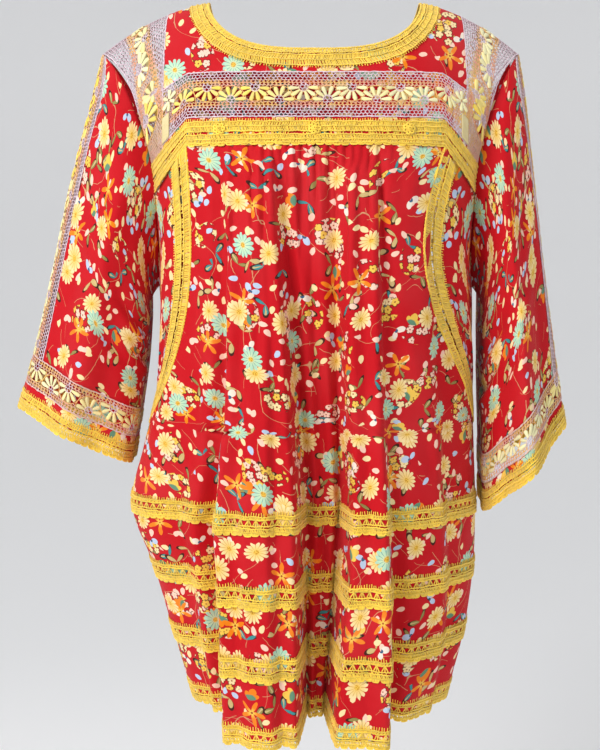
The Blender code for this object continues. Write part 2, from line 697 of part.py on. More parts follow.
def build_yoke():
    """The plain yoke round the neck, its crocheted edge, and the drawn-thread bands round it."""
    for label, behind in (("front", False), ("back", True)):
        inside = (0, 0, -0.17)
        low = float(yoke_share(YOKE_TRIM, behind))
        top = float(yoke_share(YOKE_TRIM + RED_STRIP + FRONT_BAND, behind))

        def place(x, t, behind=behind):
            return yoke_point(x, t, behind)

        up_side = np.linspace(top, 1.0, 5)[1:]
        far = np.concatenate([BAND_COLUMNS, np.full(4, YOKE_INSET_HALF)])
        far_t = np.concatenate([np.full(7, top), up_side])
        angle = np.radians(np.linspace(0, 90, len(far)))
        near, near_t = neck_loop(angle, 0.0, behind)
        rim, rim_t = neck_loop(angle, NECK_TRIM, behind)
        xs = np.array([mirrored(row, -1.0) for row in (near, rim, (rim + far) / 2, far)])
        ts = np.array([mirrored(row) for row in (near_t, rim_t, (rim_t + far_t) / 2, far_t)])
        points = place(xs, ts)
        out = facing_out(place, xs, np.clip(ts, 0.001, 0.999), inside, (2e-4, 1e-3))
        sheet(f"yoke_{label}", points, out)
        raised = LYING_GAP + CROCHET
        sheet(f"neck_trim_{label}", points[:2], out[:2], "yellow_crochet", CROCHET, lift=raised, gap=0.0001)

        def on_yoke(along, across, behind=behind):
            return yoke_point(along, yoke_share(across, behind), behind)

        cutwork(
            f"drawn_band_{label}",
            on_yoke,
            mirrored(np.linspace(0.0, YOKE_INSET_HALF, 7), -1.0),
            lambda a: YOKE_TRIM,
            lambda a: YOKE_TRIM + RED_STRIP + FRONT_BAND,
            YOKE_TRIM + RED_STRIP + FRONT_BAND / 2,
            inside,
        )
        shares = np.array([low, 0.0])[:, None]
        halves = []
        for sign in (-1, 1):
            half = np.concatenate([np.broadcast_to(BAND_COLUMNS, (2, 7)), armhole_half(shares, sign)], axis=1)
            half[1, 6] = SIDE_INNER
            halves.append(half)
        xs = np.concatenate([-halves[0][:, :0:-1], halves[1]], axis=1)
        points, out = place(xs, shares), facing_out(place, xs, np.clip(shares, 0.001, 1) + 0 * xs, inside)
        out[1] = level_out(points[1])
        for side in SLEEVES:
            sign = SLEEVES[side][0]
            share = armhole_share(sign, shares[:, 0], behind)
            out[:, -1 if sign > 0 else 0] = armhole_out(side, "body", share)
        sheet(f"yoke_trim_{label}", points, out, "yellow_crochet", CLOTH)


def over_shoulder(sign, x, q):
    """Points of the shoulders at a distance out and a share q: 0 front seam, 1 ridge, 2 back seam."""
    front = yoke_point(sign * x, np.clip(q, 0, 1))
    back = yoke_point(sign * x, np.clip(2 - q, 0, 1), True)
    return np.where((q <= 1)[..., None], front, back)


def shoulder_stops(sign):
    """Places of the shoulder band's fans along it and the marks on the armhole that they reach."""
    steps = np.linspace(0, 2, 801)
    run = run_along(over_shoulder(sign, np.full(801, 0.180), steps))
    first, ridge = np.interp([float(yoke_share(YOKE_TRIM)), 1.0], steps, run)
    last = np.interp(2 - float(yoke_share(YOKE_TRIM, True)), steps, run)
    front, back = (max(2, round(length / FAN_PITCH)) for length in (ridge - first, last - ridge))
    stops = np.concatenate([np.linspace(first, ridge, front + 1), np.linspace(ridge, last, back + 1)[1:]])
    return stops, np.interp(stops, run, steps), run, steps, front


def build_shoulders():
    """The drawn-thread bands that run over the shoulders from the front seam to the back one."""
    for side in SLEEVES:
        sign = SLEEVES[side][0]
        stops, _, run, steps, _ = shoulder_stops(sign)

        def place(along, across, sign=sign, run=run, steps=steps):
            return over_shoulder(sign, across, np.interp(along, run, steps))

        def reach(along, sign=sign, run=run, steps=steps):
            q = float(np.interp(along, run, steps))
            return float(armhole_half(np.array(q if q < 1 else 2 - q), sign))

        def redirect(along, across, out, sign=sign, side=side, run=run, steps=steps):
            q = np.interp(along, run, steps)
            mark = np.where(q < 1, q, 2 - q)
            share = np.where(q < 1, armhole_share(sign, mark), armhole_share(sign, mark, True))
            at_edge = across > armhole_half(mark, sign) - 0.003
            return np.where(at_edge[:, None], armhole_out(side, "body", share), out)

        cutwork(
            f"drawn_band_shoulder_{side}",
            place,
            stops,
            lambda a: YOKE_INSET_HALF,
            reach,
            YOKE_INSET_HALF + SLEEVE_BAND / 2,
            (sign * 0.10, 0, -0.17),
            redirect=redirect,
            cut=lambda a, reach=reach: reach(a) > YOKE_INSET_HALF + SLEEVE_BAND * 0.86,
        )


def build_sleeves():
    """The sleeves, the bands down their tops and round their cuffs, and the crocheted cuff edges."""
    cuff = CUFF_BAND + CUFF_BORDER + CUFF_TRIM
    for side in SLEEVES:
        sign = SLEEVES[side][0]
        _, levels, _, _, front_fans = shoulder_stops(sign)
        inside = (sign * 0.22, 0.0, -0.28)
        run = np.linspace(0, 1, 161)
        girth = [float(run_along(sleeve_point(side, run, np.full(161, t)))[-1]) for t in (0.0, 0.5, 1.0)]
        front_marks = np.concatenate([levels[front_fans - 1 :: -1], side_marks()])
        back_marks = np.concatenate([2 - levels[front_fans + 1 :], side_marks()[:-1]])
        front_s, back_s = armhole_share(sign, front_marks), armhole_share(sign, back_marks, True)
        top_s = np.concatenate([front_s, back_s[::-1]])
        ends = (top_s[0], 1 - top_s[-1])

        def band_edge(t, back, girth=girth, ends=ends):
            half = SLEEVE_BAND / 2 / np.interp(t, (0.0, 0.5, 1.0), girth)
            return half + (ends[back] - half) * np.clip(1 - t / 0.15, 0, 1) ** 2

        def place(s, t, side=side):
            return sleeve_point(side, s, t)

        steps = np.linspace(0, 1, 401)
        middle = band_swing(side, steps)
        top_line = place(middle, steps * sleeve_level(side, middle, cuff))
        length = float(run_along(top_line)[-1])
        fans = round(length / FAN_PITCH)
        stops = np.linspace(0, length, fans + 1)

        grid_s, grid_t = [], []
        for level in np.interp(stops, run_along(top_line), steps):
            first, last = band_edge(level, 0), 1 - band_edge(level, 1)
            even = np.linspace(first, last, len(top_s))
            start = first + (top_s - top_s[0]) / (top_s[-1] - top_s[0]) * (last - first)
            s = start + (even - start) * smoothstep(level) + band_swing(side, level)
            grid_s.append(s)
            grid_t.append(level * sleeve_level(side, s, cuff + CUFF_GAP))
        s, t = np.array(grid_s), np.array(grid_t)
        out = facing_out(place, s, t, inside, (1e-4, 5e-4))
        out[0] = armhole_out(side, "sleeve", top_s)
        sheet(f"sleeve_{side}", place(s, t), out, gap=0.0004)

        line_run = run_along(top_line)

        def on_top(along, across, side=side, line_run=line_run, band_edge=band_edge):
            level = np.interp(along, line_run, steps)
            half = np.where(across < 0, band_edge(level, 1), band_edge(level, 0))
            s = across / (SLEEVE_BAND / 2) * half + band_swing(side, level)
            return sleeve_point(side, s, level * sleeve_level(side, s, cuff + CUFF_GAP))

        def redirect(along, across, out, side=side, ends=ends):
            share = across / (SLEEVE_BAND / 2) * np.where(across < 0, ends[1], ends[0])
            return np.where((along < 0.002)[:, None], armhole_out(side, "sleeve", share), out)

        half = SLEEVE_BAND / 2
        cutwork(
            f"drawn_band_sleeve_{side}", on_top, stops, lambda a: -half, lambda a: half, 0.0, inside, redirect
        )
        cuff_fans = 2 * round(girth[2] / FAN_PITCH / 2)
        edge = CUFF_BORDER + CUFF_TRIM
        for label, first in (("front", 0.0), ("back", 0.5)):

            def on_cuff(along, across, side=side, first=first, whole=girth[2]):
                s = first + along / whole
                return sleeve_point(side, s, sleeve_level(side, s, across))

            cutwork(
                f"cuff_band_{side}_{label}",
                on_cuff,
                np.linspace(0, girth[2] / 2, cuff_fans // 2 + 1),
                lambda a: edge,
                lambda a: edge + CUFF_BAND,
                edge + CUFF_BAND / 2,
                (sign * 0.24, 0.0, -0.43),
                gap=CUFF_GAP,
            )
        round_arm = np.linspace(0, 1, 2 * cuff_fans + 1)[:-1]
        for name, top, low, finish in (
            ("cuff_border", edge, CUFF_TRIM, "print_cloth"),
            ("cuff_trim", CUFF_TRIM, 0.0, "yellow_crochet"),
        ):
            ring_t = np.array([sleeve_level(side, round_arm, d) for d in (top, low)])
            ring_s = np.broadcast_to(round_arm, ring_t.shape)
            out = facing_out(place, ring_s, ring_t, (sign * 0.24, 0.0, -0.45), (1e-4, 5e-4))
            sheet(f"{name}_{side}", place(ring_s, ring_t), out, finish, CLOTH, closed=True, gap=CUFF_GAP)


for leftover in list(bpy.data.objects):
    bpy.data.objects.remove(leftover)
blouse = bpy.data.collections.new("drawn_thread_blouse")
bpy.context.scene.collection.children.link(blouse)
build_yoke()
build_shoulders()
build_body()
build_sides()
build_sleeves()
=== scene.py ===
import math

import bpy
import numpy as np
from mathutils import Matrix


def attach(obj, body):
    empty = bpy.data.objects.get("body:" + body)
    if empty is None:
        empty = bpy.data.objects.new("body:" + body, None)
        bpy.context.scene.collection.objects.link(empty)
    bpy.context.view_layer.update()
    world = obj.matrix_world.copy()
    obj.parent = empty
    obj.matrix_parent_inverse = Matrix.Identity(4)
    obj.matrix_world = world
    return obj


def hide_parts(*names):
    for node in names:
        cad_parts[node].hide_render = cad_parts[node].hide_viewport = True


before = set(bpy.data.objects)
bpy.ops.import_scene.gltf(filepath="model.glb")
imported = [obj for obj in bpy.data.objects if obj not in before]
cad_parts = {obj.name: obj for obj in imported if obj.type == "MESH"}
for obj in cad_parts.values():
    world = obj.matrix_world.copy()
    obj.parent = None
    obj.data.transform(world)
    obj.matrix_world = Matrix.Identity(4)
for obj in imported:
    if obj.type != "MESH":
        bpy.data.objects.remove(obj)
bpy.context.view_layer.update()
bpy.ops.object.select_all(action="DESELECT")

# Gathered front and back. Two widths of printed cotton, drawn up under the yoke and let out into deep pleats;
# in front they end in two hanging lobes. The sheet is one thin wall, lying where the pleats carry it.

YOKE_SEAM = -0.152
TIER_TOPS = (-0.502, -0.570, -0.636)
TIER_DEPTH = 0.020
CLOTH_HEM = -0.700
HEM_EDGE = -0.7195
SQUARENESS = 2.5
LOBE_DROOP = 0.22
# Body without folds: z, half width to -X, half width to +X, depth in front, depth behind
BODY_SECTIONS = (
    (-0.720, 0.128, 0.140, 0.084, 0.092),
    (-0.650, 0.148, 0.157, 0.088, 0.098),
    (-0.580, 0.168, 0.166, 0.091, 0.104),
    (-0.515, 0.190, 0.167, 0.094, 0.108),
    (-0.455, 0.177, 0.165, 0.099, 0.108),
    (-0.400, 0.164, 0.163, 0.106, 0.106),
    (-0.330, 0.159, 0.162, 0.115, 0.104),
    (-0.260, 0.161, 0.161, 0.121, 0.103),
    (-0.200, 0.165, 0.165, 0.122, 0.102),
    (-0.140, 0.169, 0.169, 0.117, 0.100),
)
FOLD_LEVELS = (-0.150, -0.500, -0.720)
# Fold lines, in mm: x at each of the three levels, then how far each stands out there
FRONT_FOLDS = (
    (-150, -168, -118, 1, 7, 4),
    (-124, -134, -104, 0, 1, 0),
    (-106, -113, -96, 3, 13, 10),
    (-94, -97, -82, 0, 3, 1),
    (-82, -82, -66, 5, 50, 62),
    (-73, -70, -57, 1, 48, 60),
    (-62, -56, -45, 7, 56, 68),
    (-54, -42, -32, 4, 58, 70),
    (-50, -34, -24, 6, 50, 60),
    (-46, -20, -15, 6, 52, 62),
    (-38, -8, -8, -1, 4, 0),
    (-24, 2, -3, 5, 12, 9),
    (-12, 10, 1, 0, 8, 5),
    (0, 17, 5, 5, 10, 6),
    (18, 24, 9, -1, 1, -2),
    (29, 34, 17, 7, 50, 62),
    (40, 44, 35, 4, 48, 64),
    (49, 55, 53, 7, 56, 70),
    (61, 66, 66, -1, 34, 14),
    (72, 78, 80, 5, 36, 22),
    (96, 108, 106, 5, 30, 15),
    (112, 128, 120, 1, 10, 3),
    (140, 148, 130, 1, 7, 4),
)
BACK_FOLDS = (
    (138, 146, 122, 1, 5, 3),
    (110, 116, 104, 0, 1, 0),
    (92, 94, 88, 4, 34, 42),
    (66, 66, 60, 4, 38, 46),
    (54, 50, 46, 0, 5, 1),
    (34, 30, 28, 5, 12, 9),
    (16, 14, 14, 0, 2, -1),
    (2, 0, 0, 5, 36, 44),
    (-26, -28, -26, 5, 40, 48),
    (-42, -46, -42, 0, 6, 2),
    (-64, -66, -60, 5, 26, 20),
    (-88, -94, -84, 4, 28, 18),
    (-106, -114, -102, 0, 3, 0),
    (-140, -150, -120, 1, 6, 4),
)
BACK_START = len(FRONT_FOLDS) + 1
SIDE_PANEL_FOOT = -0.418
OUTER_FOOT = -0.433
SIDE_INNER = 0.141
DROP_START = 0.125
# The cloth runs on a little way under the crochet
UNDER_FOOT = -0.427
UNDER_START = 0.131
UNDER_HEM = 0.0135
GATHERS_FOOT = -0.21
# Small gathers under the yoke seam: how far apart they run, how far they stand out, how far down they fade
GATHER_PITCH = 0.0075
GATHER_HEIGHT = 0.0011
GATHER_FADE = 0.060
# Creases pressed by wearing, on the front and on the back: x, z, half length, half width, depth, lean in degrees
CREASES = {
    False: (
        (-0.107, -0.200, 0.060, 0.0040, 0.0034, 0),
        (-0.079, -0.215, 0.085, 0.0036, 0.0032, -1),
        (-0.061, -0.190, 0.060, 0.0036, 0.0040, 0),
        (-0.050, -0.205, 0.070, 0.0034, 0.0036, -1),
        (-0.030, -0.180, 0.040, 0.0034, 0.0024, 0),
        (-0.014, -0.210, 0.085, 0.0036, 0.0036, 0),
        (-0.001, -0.195, 0.060, 0.0034, 0.0032, 1),
        (0.012, -0.180, 0.040, 0.0034, 0.0022, 0),
        (0.028, -0.215, 0.080, 0.0036, 0.0034, 1),
        (0.050, -0.205, 0.075, 0.0036, 0.0038, 1),
        (0.061, -0.195, 0.060, 0.0034, 0.0032, 0),
        (0.083, -0.185, 0.045, 0.0040, 0.0026, 1),
        (0.100, -0.190, 0.045, 0.0040, 0.0026, 0),
        (-0.085, -0.255, 0.050, 0.006, 0.0022, 12),
        (-0.055, -0.330, 0.070, 0.005, 0.0018, 5),
        (-0.018, -0.300, 0.080, 0.004, 0.0016, -4),
        (0.045, -0.280, 0.060, 0.006, 0.0020, -6),
        (0.082, -0.360, 0.055, 0.007, 0.0024, -14),
        (0.100, -0.235, 0.035, 0.006, 0.0020, 24),
        (-0.105, -0.440, 0.040, 0.008, 0.0025, 28),
        (-0.128, -0.565, 0.035, 0.006, 0.0020, 40),
        (0.118, -0.470, 0.050, 0.007, 0.0022, -20),
        (-0.062, -0.610, 0.045, 0.005, 0.0015, 8),
        (0.030, -0.560, 0.050, 0.005, 0.0014, -7),
        (0.005, -0.430, 0.060, 0.006, 0.0018, 3),
    ),
    True: (
        (-0.090, -0.270, 0.060, 0.007, 0.0022, -10),
        (-0.030, -0.300, 0.080, 0.006, 0.0020, 4),
        (0.040, -0.260, 0.060, 0.006, 0.0020, 7),
        (0.095, -0.330, 0.050, 0.007, 0.0024, 15),
        (0.060, -0.460, 0.060, 0.006, 0.0018, -6),
        (-0.060, -0.480, 0.060, 0.006, 0.0018, 8),
        (-0.120, -0.420, 0.040, 0.008, 0.0024, -25),
        (0.120, -0.540, 0.040, 0.007, 0.0022, 30),
    ),
}


def smoothstep(t):
    t = np.clip(t, 0.0, 1.0)
    return t * t * (3.0 - 2.0 * t)


def unit(vectors):
    return vectors / np.maximum(np.linalg.norm(vectors, axis=-1, keepdims=True), 1e-12)


def through_rows(at, rows):
    """The other columns of a table at these values of its first column, on smooth curves."""
    table = np.array(sorted(rows), float)
    keys, values = table[:, 0], table[:, 1:]
    slopes = np.gradient(values, keys, axis=0)
    at = np.clip(np.asarray(at, float), keys[0], keys[-1])
    i = np.clip(np.searchsorted(keys, at) - 1, 0, len(keys) - 2)
    step = (keys[i + 1] - keys[i])[..., None]
    t = (at[..., None] - keys[i][..., None]) / step
    start = (1 + 2 * t) * (1 - t) ** 2 * values[i] + t * (1 - t) ** 2 * step * slopes[i]
    end = t * t * (3 - 2 * t) * values[i + 1] - t * t * (1 - t) * step * slopes[i + 1]
    return np.moveaxis(start + end, -1, 0)


def plain_body(angle, z):
    """x, y on the body without its folds, and the outward direction. Angle 0 is the front, +90 degrees is +X."""
    low, high, front, back = through_rows(z, BODY_SECTIONS)
    s, c = np.sin(angle), np.cos(angle)
    full = (np.abs(s) ** SQUARENESS + np.abs(c) ** SQUARENESS) ** (-1 / SQUARENESS)
    half = np.where(s < 0, low, high)
    depth = np.where(c > 0, front, back)
    out = unit(np.stack([s * full / half, -c * full / depth], -1))
    return half * s * full, -depth * c * full, out


def angle_at(x, z, behind=False):
    """The angle at which the plain body reaches this x, in front or behind."""
    x = np.asarray(x, float)
    low, high, _, _ = through_rows(z, BODY_SECTIONS)
    share = np.clip(np.abs(x) / np.where(x < 0, low, high), 0, 0.99999)
    found = np.sign(x) * np.arctan2(share, (1 - share**SQUARENESS) ** (1 / SQUARENESS))
    return math.pi - found if behind else found


def fold_lines():
    """Angle and height of every fold line at each of the three levels, round the body from -X to -X."""
    angles, heights = [np.full(3, -math.pi / 2)], [np.zeros(3)]
    for behind, table in ((False, FRONT_FOLDS), (True, BACK_FOLDS)):
        for row in table:
            angles.append(np.array([float(angle_at(row[k] / 1000, FOLD_LEVELS[k], behind)) for k in range(3)]))
            heights.append(np.array(row[3:]) / 1000)
        angles.append(np.full(3, math.pi * (1.5 if behind else 0.5)))
        heights.append(np.zeros(3))
    return np.array(angles), np.array(heights)


LINE_ANGLES, LINE_HEIGHTS = fold_lines()


def lines_at(z):
    """Angles and heights of the fold lines at these heights of the body."""
    z = np.asarray(z, float)[..., None]
    top, middle, low = FOLD_LEVELS
    upper = np.clip((top - z) / (top - middle), 0, 1)
    lower = np.clip((middle - z) / (middle - low), 0, 1)
    found = []
    for table in (LINE_ANGLES, LINE_HEIGHTS):
        a, b, c = table.T
        found.append(a + (b - a) * upper + (c - b) * lower)
    return found


def body_point(angle, z):
    """Points on the hanging body, with its folds."""
    angle, z = np.broadcast_arrays(np.asarray(angle, float), np.asarray(z, float))
    x, y, out = plain_body(angle, z)
    angles, heights = lines_at(z)
    turned = (angle + math.pi / 2) % (2 * math.pi) - math.pi / 2
    k = np.clip((angles <= turned[..., None]).sum(-1) - 1, 0, angles.shape[-1] - 2)[..., None]
    first, second = np.take_along_axis(angles, k, -1)[..., 0], np.take_along_axis(angles, k + 1, -1)[..., 0]
    low, high = np.take_along_axis(heights, k, -1)[..., 0], np.take_along_axis(heights, k + 1, -1)[..., 0]
    lift = low + (high - low) * smoothstep((turned - first) / (second - first))
    lift *= smoothstep((YOKE_SEAM - z) / 0.035)
    droop = LOBE_DROOP * np.clip(lift, 0, None) * smoothstep((-0.45 - z) / 0.30)
    return np.stack([x + out[..., 0] * lift, y + out[..., 1] * lift, z - droop], -1)


def facing_out(place, a, b, inside, steps=(2e-4, 2e-4)):
    """Unit normals of a surface at its parameters a and b, pointing away from the inside of the garment."""
    a, b = np.broadcast_arrays(np.asarray(a, float), np.asarray(b, float))
    along = place(a + steps[0], b) - place(a - steps[0], b)
    across = place(a, b + steps[1]) - place(a, b - steps[1])
    normal = unit(np.cross(along, across))
    away = (normal * (place(a, b) - np.array(inside, float))).sum()
    return normal if away > 0 else -normal


def run_along(points):
    """Distance run along a line of points, from its first."""
    return np.concatenate([[0], np.cumsum(np.linalg.norm(np.diff(points, axis=0), axis=1))])


def flat_lengths(points, middle=None):
    """Flat lengths of a grid of cloth: across, counted from the middle column, and down."""
    across = np.cumsum(np.linalg.norm(np.diff(points, axis=1), axis=2), axis=1)
    across = np.concatenate([np.zeros((len(points), 1)), across], 1)
    across -= across[:, [points.shape[1] // 2 if middle is None else middle]]
    down = np.cumsum(np.linalg.norm(np.diff(points, axis=0), axis=2), axis=0).mean(axis=1)
    down = np.concatenate([[0], down])
    return across, np.broadcast_to(-down[:, None], across.shape)


def lay_cloth(name, points, flat, finish, closed=False, wall=0.0006):
    """A thin wall of cloth on a grid of points, rows down and columns across, with its flat lengths as UV map."""
    rows, columns = points.shape[:2]
    last = columns if closed else columns - 1
    i, j = np.meshgrid(np.arange(rows - 1), np.arange(last), indexing="ij")
    k = (j + 1) % columns
    this, below = i * columns, (i + 1) * columns
    faces = np.stack([this + j, this + k, below + k, below + j], -1).reshape(-1, 4)
    mesh = bpy.data.meshes.new(name)
    mesh.from_pydata(points.reshape(-1, 3).tolist(), [], faces.tolist())
    layer = mesh.uv_layers.new(name="flat_cloth")
    u, v = (np.array(f, float) for f in flat)
    if closed:
        girth = u[:, -1] - u[:, 0] + np.linalg.norm(points[:, 0] - points[:, -1], axis=1)
        u = np.concatenate([u, (u[:, 0] + girth)[:, None]], axis=1)
        v = np.concatenate([v, v[:, :1]], axis=1)
    corner = [(i, j), (i, j + 1), (i + 1, j + 1), (i + 1, j)]
    uv = np.stack([np.stack([u[c], v[c]], -1) for c in corner], axis=2).reshape(-1, 2)
    layer.data.foreach_set("uv", uv.ravel())
    mesh.shade_smooth()
    made = bpy.data.objects.new(name, mesh)
    bpy.context.scene.collection.objects.link(made)
    mesh.materials.append(finish)
    solid = made.modifiers.new("cloth wall", "SOLIDIFY")
    solid.thickness = wall
    solid.offset = -1.0
    bpy.context.view_layer.objects.active = made
    made.select_set(True)
    bpy.ops.object.modifier_apply(modifier="cloth wall")
    bpy.ops.object.select_all(action="DESELECT")
    return made


def fit_on(piece, node, instead=True):
    """Fixes a piece to the part's only body; when it replaces a CAD node rather than adding to it, hides that node."""
    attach(piece, "root")
    if instead:
        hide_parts(node)


class Wiring:
    """Short names for wiring a material's nodes."""

    def __init__(self, name, roughness=0.8):
        self.material = bpy.data.materials.new(name)
        self.material.use_nodes = True
        self.tree = self.material.node_tree
        self.shader = self.tree.nodes["Principled BSDF"]
        self.shader.inputs["Roughness"].default_value = roughness

    def put(self, value, socket):
        if isinstance(value, bpy.types.NodeSocket):
            self.tree.links.new(value, socket)
        else:
            socket.default_value = value

    def node(self, kind, inputs=(), **settings):
        made = self.tree.nodes.new("ShaderNode" + kind)
        for key, value in settings.items():
            setattr(made, key, value)
        for key, value in dict(inputs).items():
            self.put(value, made.inputs[key])
        return made

    def math(self, operation, a, b=0.0, c=0.0, clamp=False):
        made = self.node("Math", {0: a, 1: b, 2: c}, operation=operation)
        made.use_clamp = clamp
        return made.outputs[0]

    def vector(self, operation, a, b=(0.0, 0.0, 0.0), scale=1.0):
        made = self.node("VectorMath", {0: a, 1: b, 3: scale}, operation=operation)
        return made.outputs["Value" if operation in ("LENGTH", "DOT_PRODUCT") else "Vector"]

    def mix(self, share, a, b):
        made = self.node("Mix", data_type="RGBA")
        self.put(share, made.inputs[0])
        self.put(a, made.inputs[6])
        self.put(b, made.inputs[7])
        return made.outputs[2]

    def noise(self, vector, scale, detail=2.0):
        return self.node("TexNoise", {"Vector": vector, "Scale": scale, "Detail": detail}).outputs["Fac"]

    def bump(self, height, strength, distance):
        made = self.node("Bump", {"Height": height, "Strength": strength, "Distance": distance})
        self.tree.links.new(made.outputs["Normal"], self.shader.inputs["Normal"])


# Colours of the red ground and the print
GROUND = (0.545, 0.0038, 0.0100, 1)
CREAM = (0.90, 0.70, 0.36, 1)
YELLOW = (0.86, 0.54, 0.08, 1)
OCHRE = (0.58, 0.27, 0.02, 1)
MINT = (0.40, 0.66, 0.50, 1)
TEAL = (0.05, 0.26, 0.27, 1)
ORANGE = (0.85, 0.22, 0.01, 1)
PALE_BLUE = (0.50, 0.60, 0.76, 1)
BLOSSOM = (0.92, 0.60, 0.46, 1)
LEAF = (0.30, 0.24, 0.07, 1)
DARK = (0.055, 0.010, 0.006, 1)


def printed_cotton(name):
    """Plain-weave cotton printed with scattered daisies, lilies, blossoms, leaves and thin stems on red."""
    w = Wiring(name, 0.74)
    w.shader.inputs["Specular IOR Level"].default_value = 0.22
    w.shader.inputs["Sheen Weight"].default_value = 0.03
    w.shader.inputs["Sheen Roughness"].default_value = 0.5
    flat = w.node("UVMap", uv_map="flat_cloth").outputs["UV"]

    def wandering(scale, reach, detail=1.0):
        cloud = w.node("TexNoise", {"Vector": flat, "Scale": scale, "Detail": detail}).outputs["Color"]
        return w.vector("SCALE", w.vector("SUBTRACT", cloud, (0.5, 0.5, 0.5)), scale=reach)

    drawn = w.vector("ADD", w.vector("ADD", flat, wandering(24.0, 0.006)), wandering(190.0, 0.0014))

    def scatter(cell, offset, randomness=0.75, oval=1.0):
        """Each point's place in its own cell, in metres, as distance and angle, and the cell's random numbers."""
        grid = w.vector("ADD", w.vector("SCALE", drawn, scale=1 / cell), (offset, offset * 0.37, 0.0))
        cells = w.node(
            "TexVoronoi", {"Vector": grid, "Scale": 1.0, "Randomness": randomness}, voronoi_dimensions="2D"
        )
        chance = w.node("SeparateColor", {0: cells.outputs["Color"]})
        local = w.vector("SCALE", w.vector("SUBTRACT", grid, cells.outputs["Position"]), scale=cell)
        angle = w.math("MULTIPLY", chance.outputs[0], 6.283)
        turned = w.node("VectorRotate", {"Vector": local, "Angle": angle}, rotation_type="Z_AXIS").outputs[0]
        turned = w.vector("MULTIPLY", turned, (oval, 1.0, 1.0))
        split = w.node("SeparateXYZ", {0: turned})
        turn = w.math("ARCTAN2", split.outputs[1], split.outputs[0])
        return w.vector("LENGTH", turned), turn, chance.outputs[1], chance.outputs[2]

    def inside_of(edge, distance, blur=0.0004):
        return w.math("MULTIPLY", w.math("SUBTRACT", edge, distance), 1 / blur, clamp=True)

    def petals(turn, count, power):
        return w.math("POWER", w.math("ABSOLUTE", w.math("COSINE", w.math("MULTIPLY", turn, count / 2))), power)

    def one_leaf(turn, power, swing=0.0):
        """1 along one direction, falling off to both sides: the outline of a single petal or leaf."""
        ahead = w.math("COSINE", w.math("ADD", turn, swing))
        return w.math("POWER", w.math("MAXIMUM", ahead, 0.0001), power)

    def both(a, b):
        return w.math("MULTIPLY", a, b)

    def over(value, low):
        return w.math("GREATER_THAN", value, low)

    colour = GROUND
    # Thin stems: the level lines of a slow wandering height
    for scale, level, gate in ((12.0, 0.46, 0.50), (16.0, 0.54, 0.52), (21.0, 0.50, 0.56)):
        line = w.math("ABSOLUTE", w.math("SUBTRACT", w.noise(drawn, scale, 0.0), level))
        stem = both(inside_of(0.0028, line, 0.0022), over(w.noise(flat, 27.0 + scale, 0.0), gate))
        colour = w.mix(stem, colour, (0.62, 0.33, 0.16, 1))
    # Curved leaves, outlined in brown, alone or in pairs
    for cell, offset, gate in ((0.034, 3.1, 0.38), (0.041, 8.7, 0.30)):
        distance, turn, chance, tone = scatter(cell, offset, 0.9, 1.15)
        edge = both(w.math("MAXIMUM", one_leaf(turn, 8.0), one_leaf(turn, 16.0, 2.1)), 0.0150)
        shown = both(inside_of(edge, distance), over(chance, gate))
        heart = inside_of(both(edge, 0.84), w.math("ADD", distance, 0.0006))
        green = w.mix(over(tone, 0.72), w.mix(over(tone, 0.40), LEAF, (0.60, 0.42, 0.16, 1)), TEAL)
        rib = over(one_leaf(turn, 160.0), 0.5)
        colour = w.mix(shown, colour, w.mix(heart, DARK, w.mix(rib, green, (0.58, 0.45, 0.20, 1))))
    # Single pink and cream petals that drift along the stems
    for cell, offset, gate in ((0.018, 5.9, 0.55), (0.022, 14.3, 0.50)):
        distance, turn, chance, tone = scatter(cell, offset, 0.9)
        shown = both(inside_of(both(one_leaf(turn, 3.2), 0.0086), distance), over(chance, gate))
        colour = w.mix(shown, colour, w.mix(over(tone, 0.35), CREAM, w.mix(over(tone, 0.90), BLOSSOM, PALE_BLUE)))
    # Clusters of small blossoms with dark gaps between them
    for cell, offset, small in ((0.072, 5.3, 0.0088), (0.088, 11.9, 0.0080)):
        distance, _, chance, pick = scatter(cell, offset, 0.8, 1.5)
        cluster = both(inside_of(0.0165, distance, 0.0008), over(chance, 0.22))
        near, turn, some, tone = scatter(small, offset + 2.0, 0.55)
        edge = w.math("MULTIPLY_ADD", petals(turn, 5.0, 0.6), 0.0017, 0.0024)
        bloom = w.mix(over(tone, 0.60), w.mix(over(pick, 0.5), CREAM, BLOSSOM), YELLOW)
        bloom = w.mix(inside_of(0.0010, near), bloom, (0.30, 0.08, 0.02, 1))
        shadow = both(cluster, both(inside_of(w.math("ADD", edge, 0.0009), near), over(some, 0.12)))
        colour = w.mix(both(shadow, 0.85), colour, DARK)
        colour = w.mix(both(cluster, both(inside_of(edge, near), over(some, 0.12))), colour, bloom)
    # Bells, white and pale blue, with a dark throat
    distance, turn, chance, tone = scatter(0.045, 2.2, 0.85)
    edge = both(w.math("MAXIMUM", one_leaf(turn, 2.0), one_leaf(turn, 4.0, 2.0)), 0.0088)
    shown = both(inside_of(edge, distance), over(chance, 0.42))
    bell = w.mix(over(tone, 0.5), PALE_BLUE, (0.86, 0.74, 0.62, 1))
    colour = w.mix(shown, colour, w.mix(inside_of(0.0022, distance), bell, (0.03, 0.10, 0.20, 1)))
    # Yellow tulips in a blue-green cup
    distance, turn, chance, tone = scatter(0.062, 6.6, 0.85, 1.2)
    crown = w.math("MULTIPLY_ADD", petals(turn, 7.0, 0.8), 0.30, 0.70)
    edge = both(both(one_leaf(turn, 0.8), crown), 0.0145)
    shown = both(inside_of(edge, distance), over(chance, 0.40))
    cup = w.mix(inside_of(0.0070, distance, 0.0012), w.mix(over(tone, 0.5), YELLOW, ORANGE), (0.12, 0.26, 0.16, 1))
    colour = w.mix(shown, colour, cup)
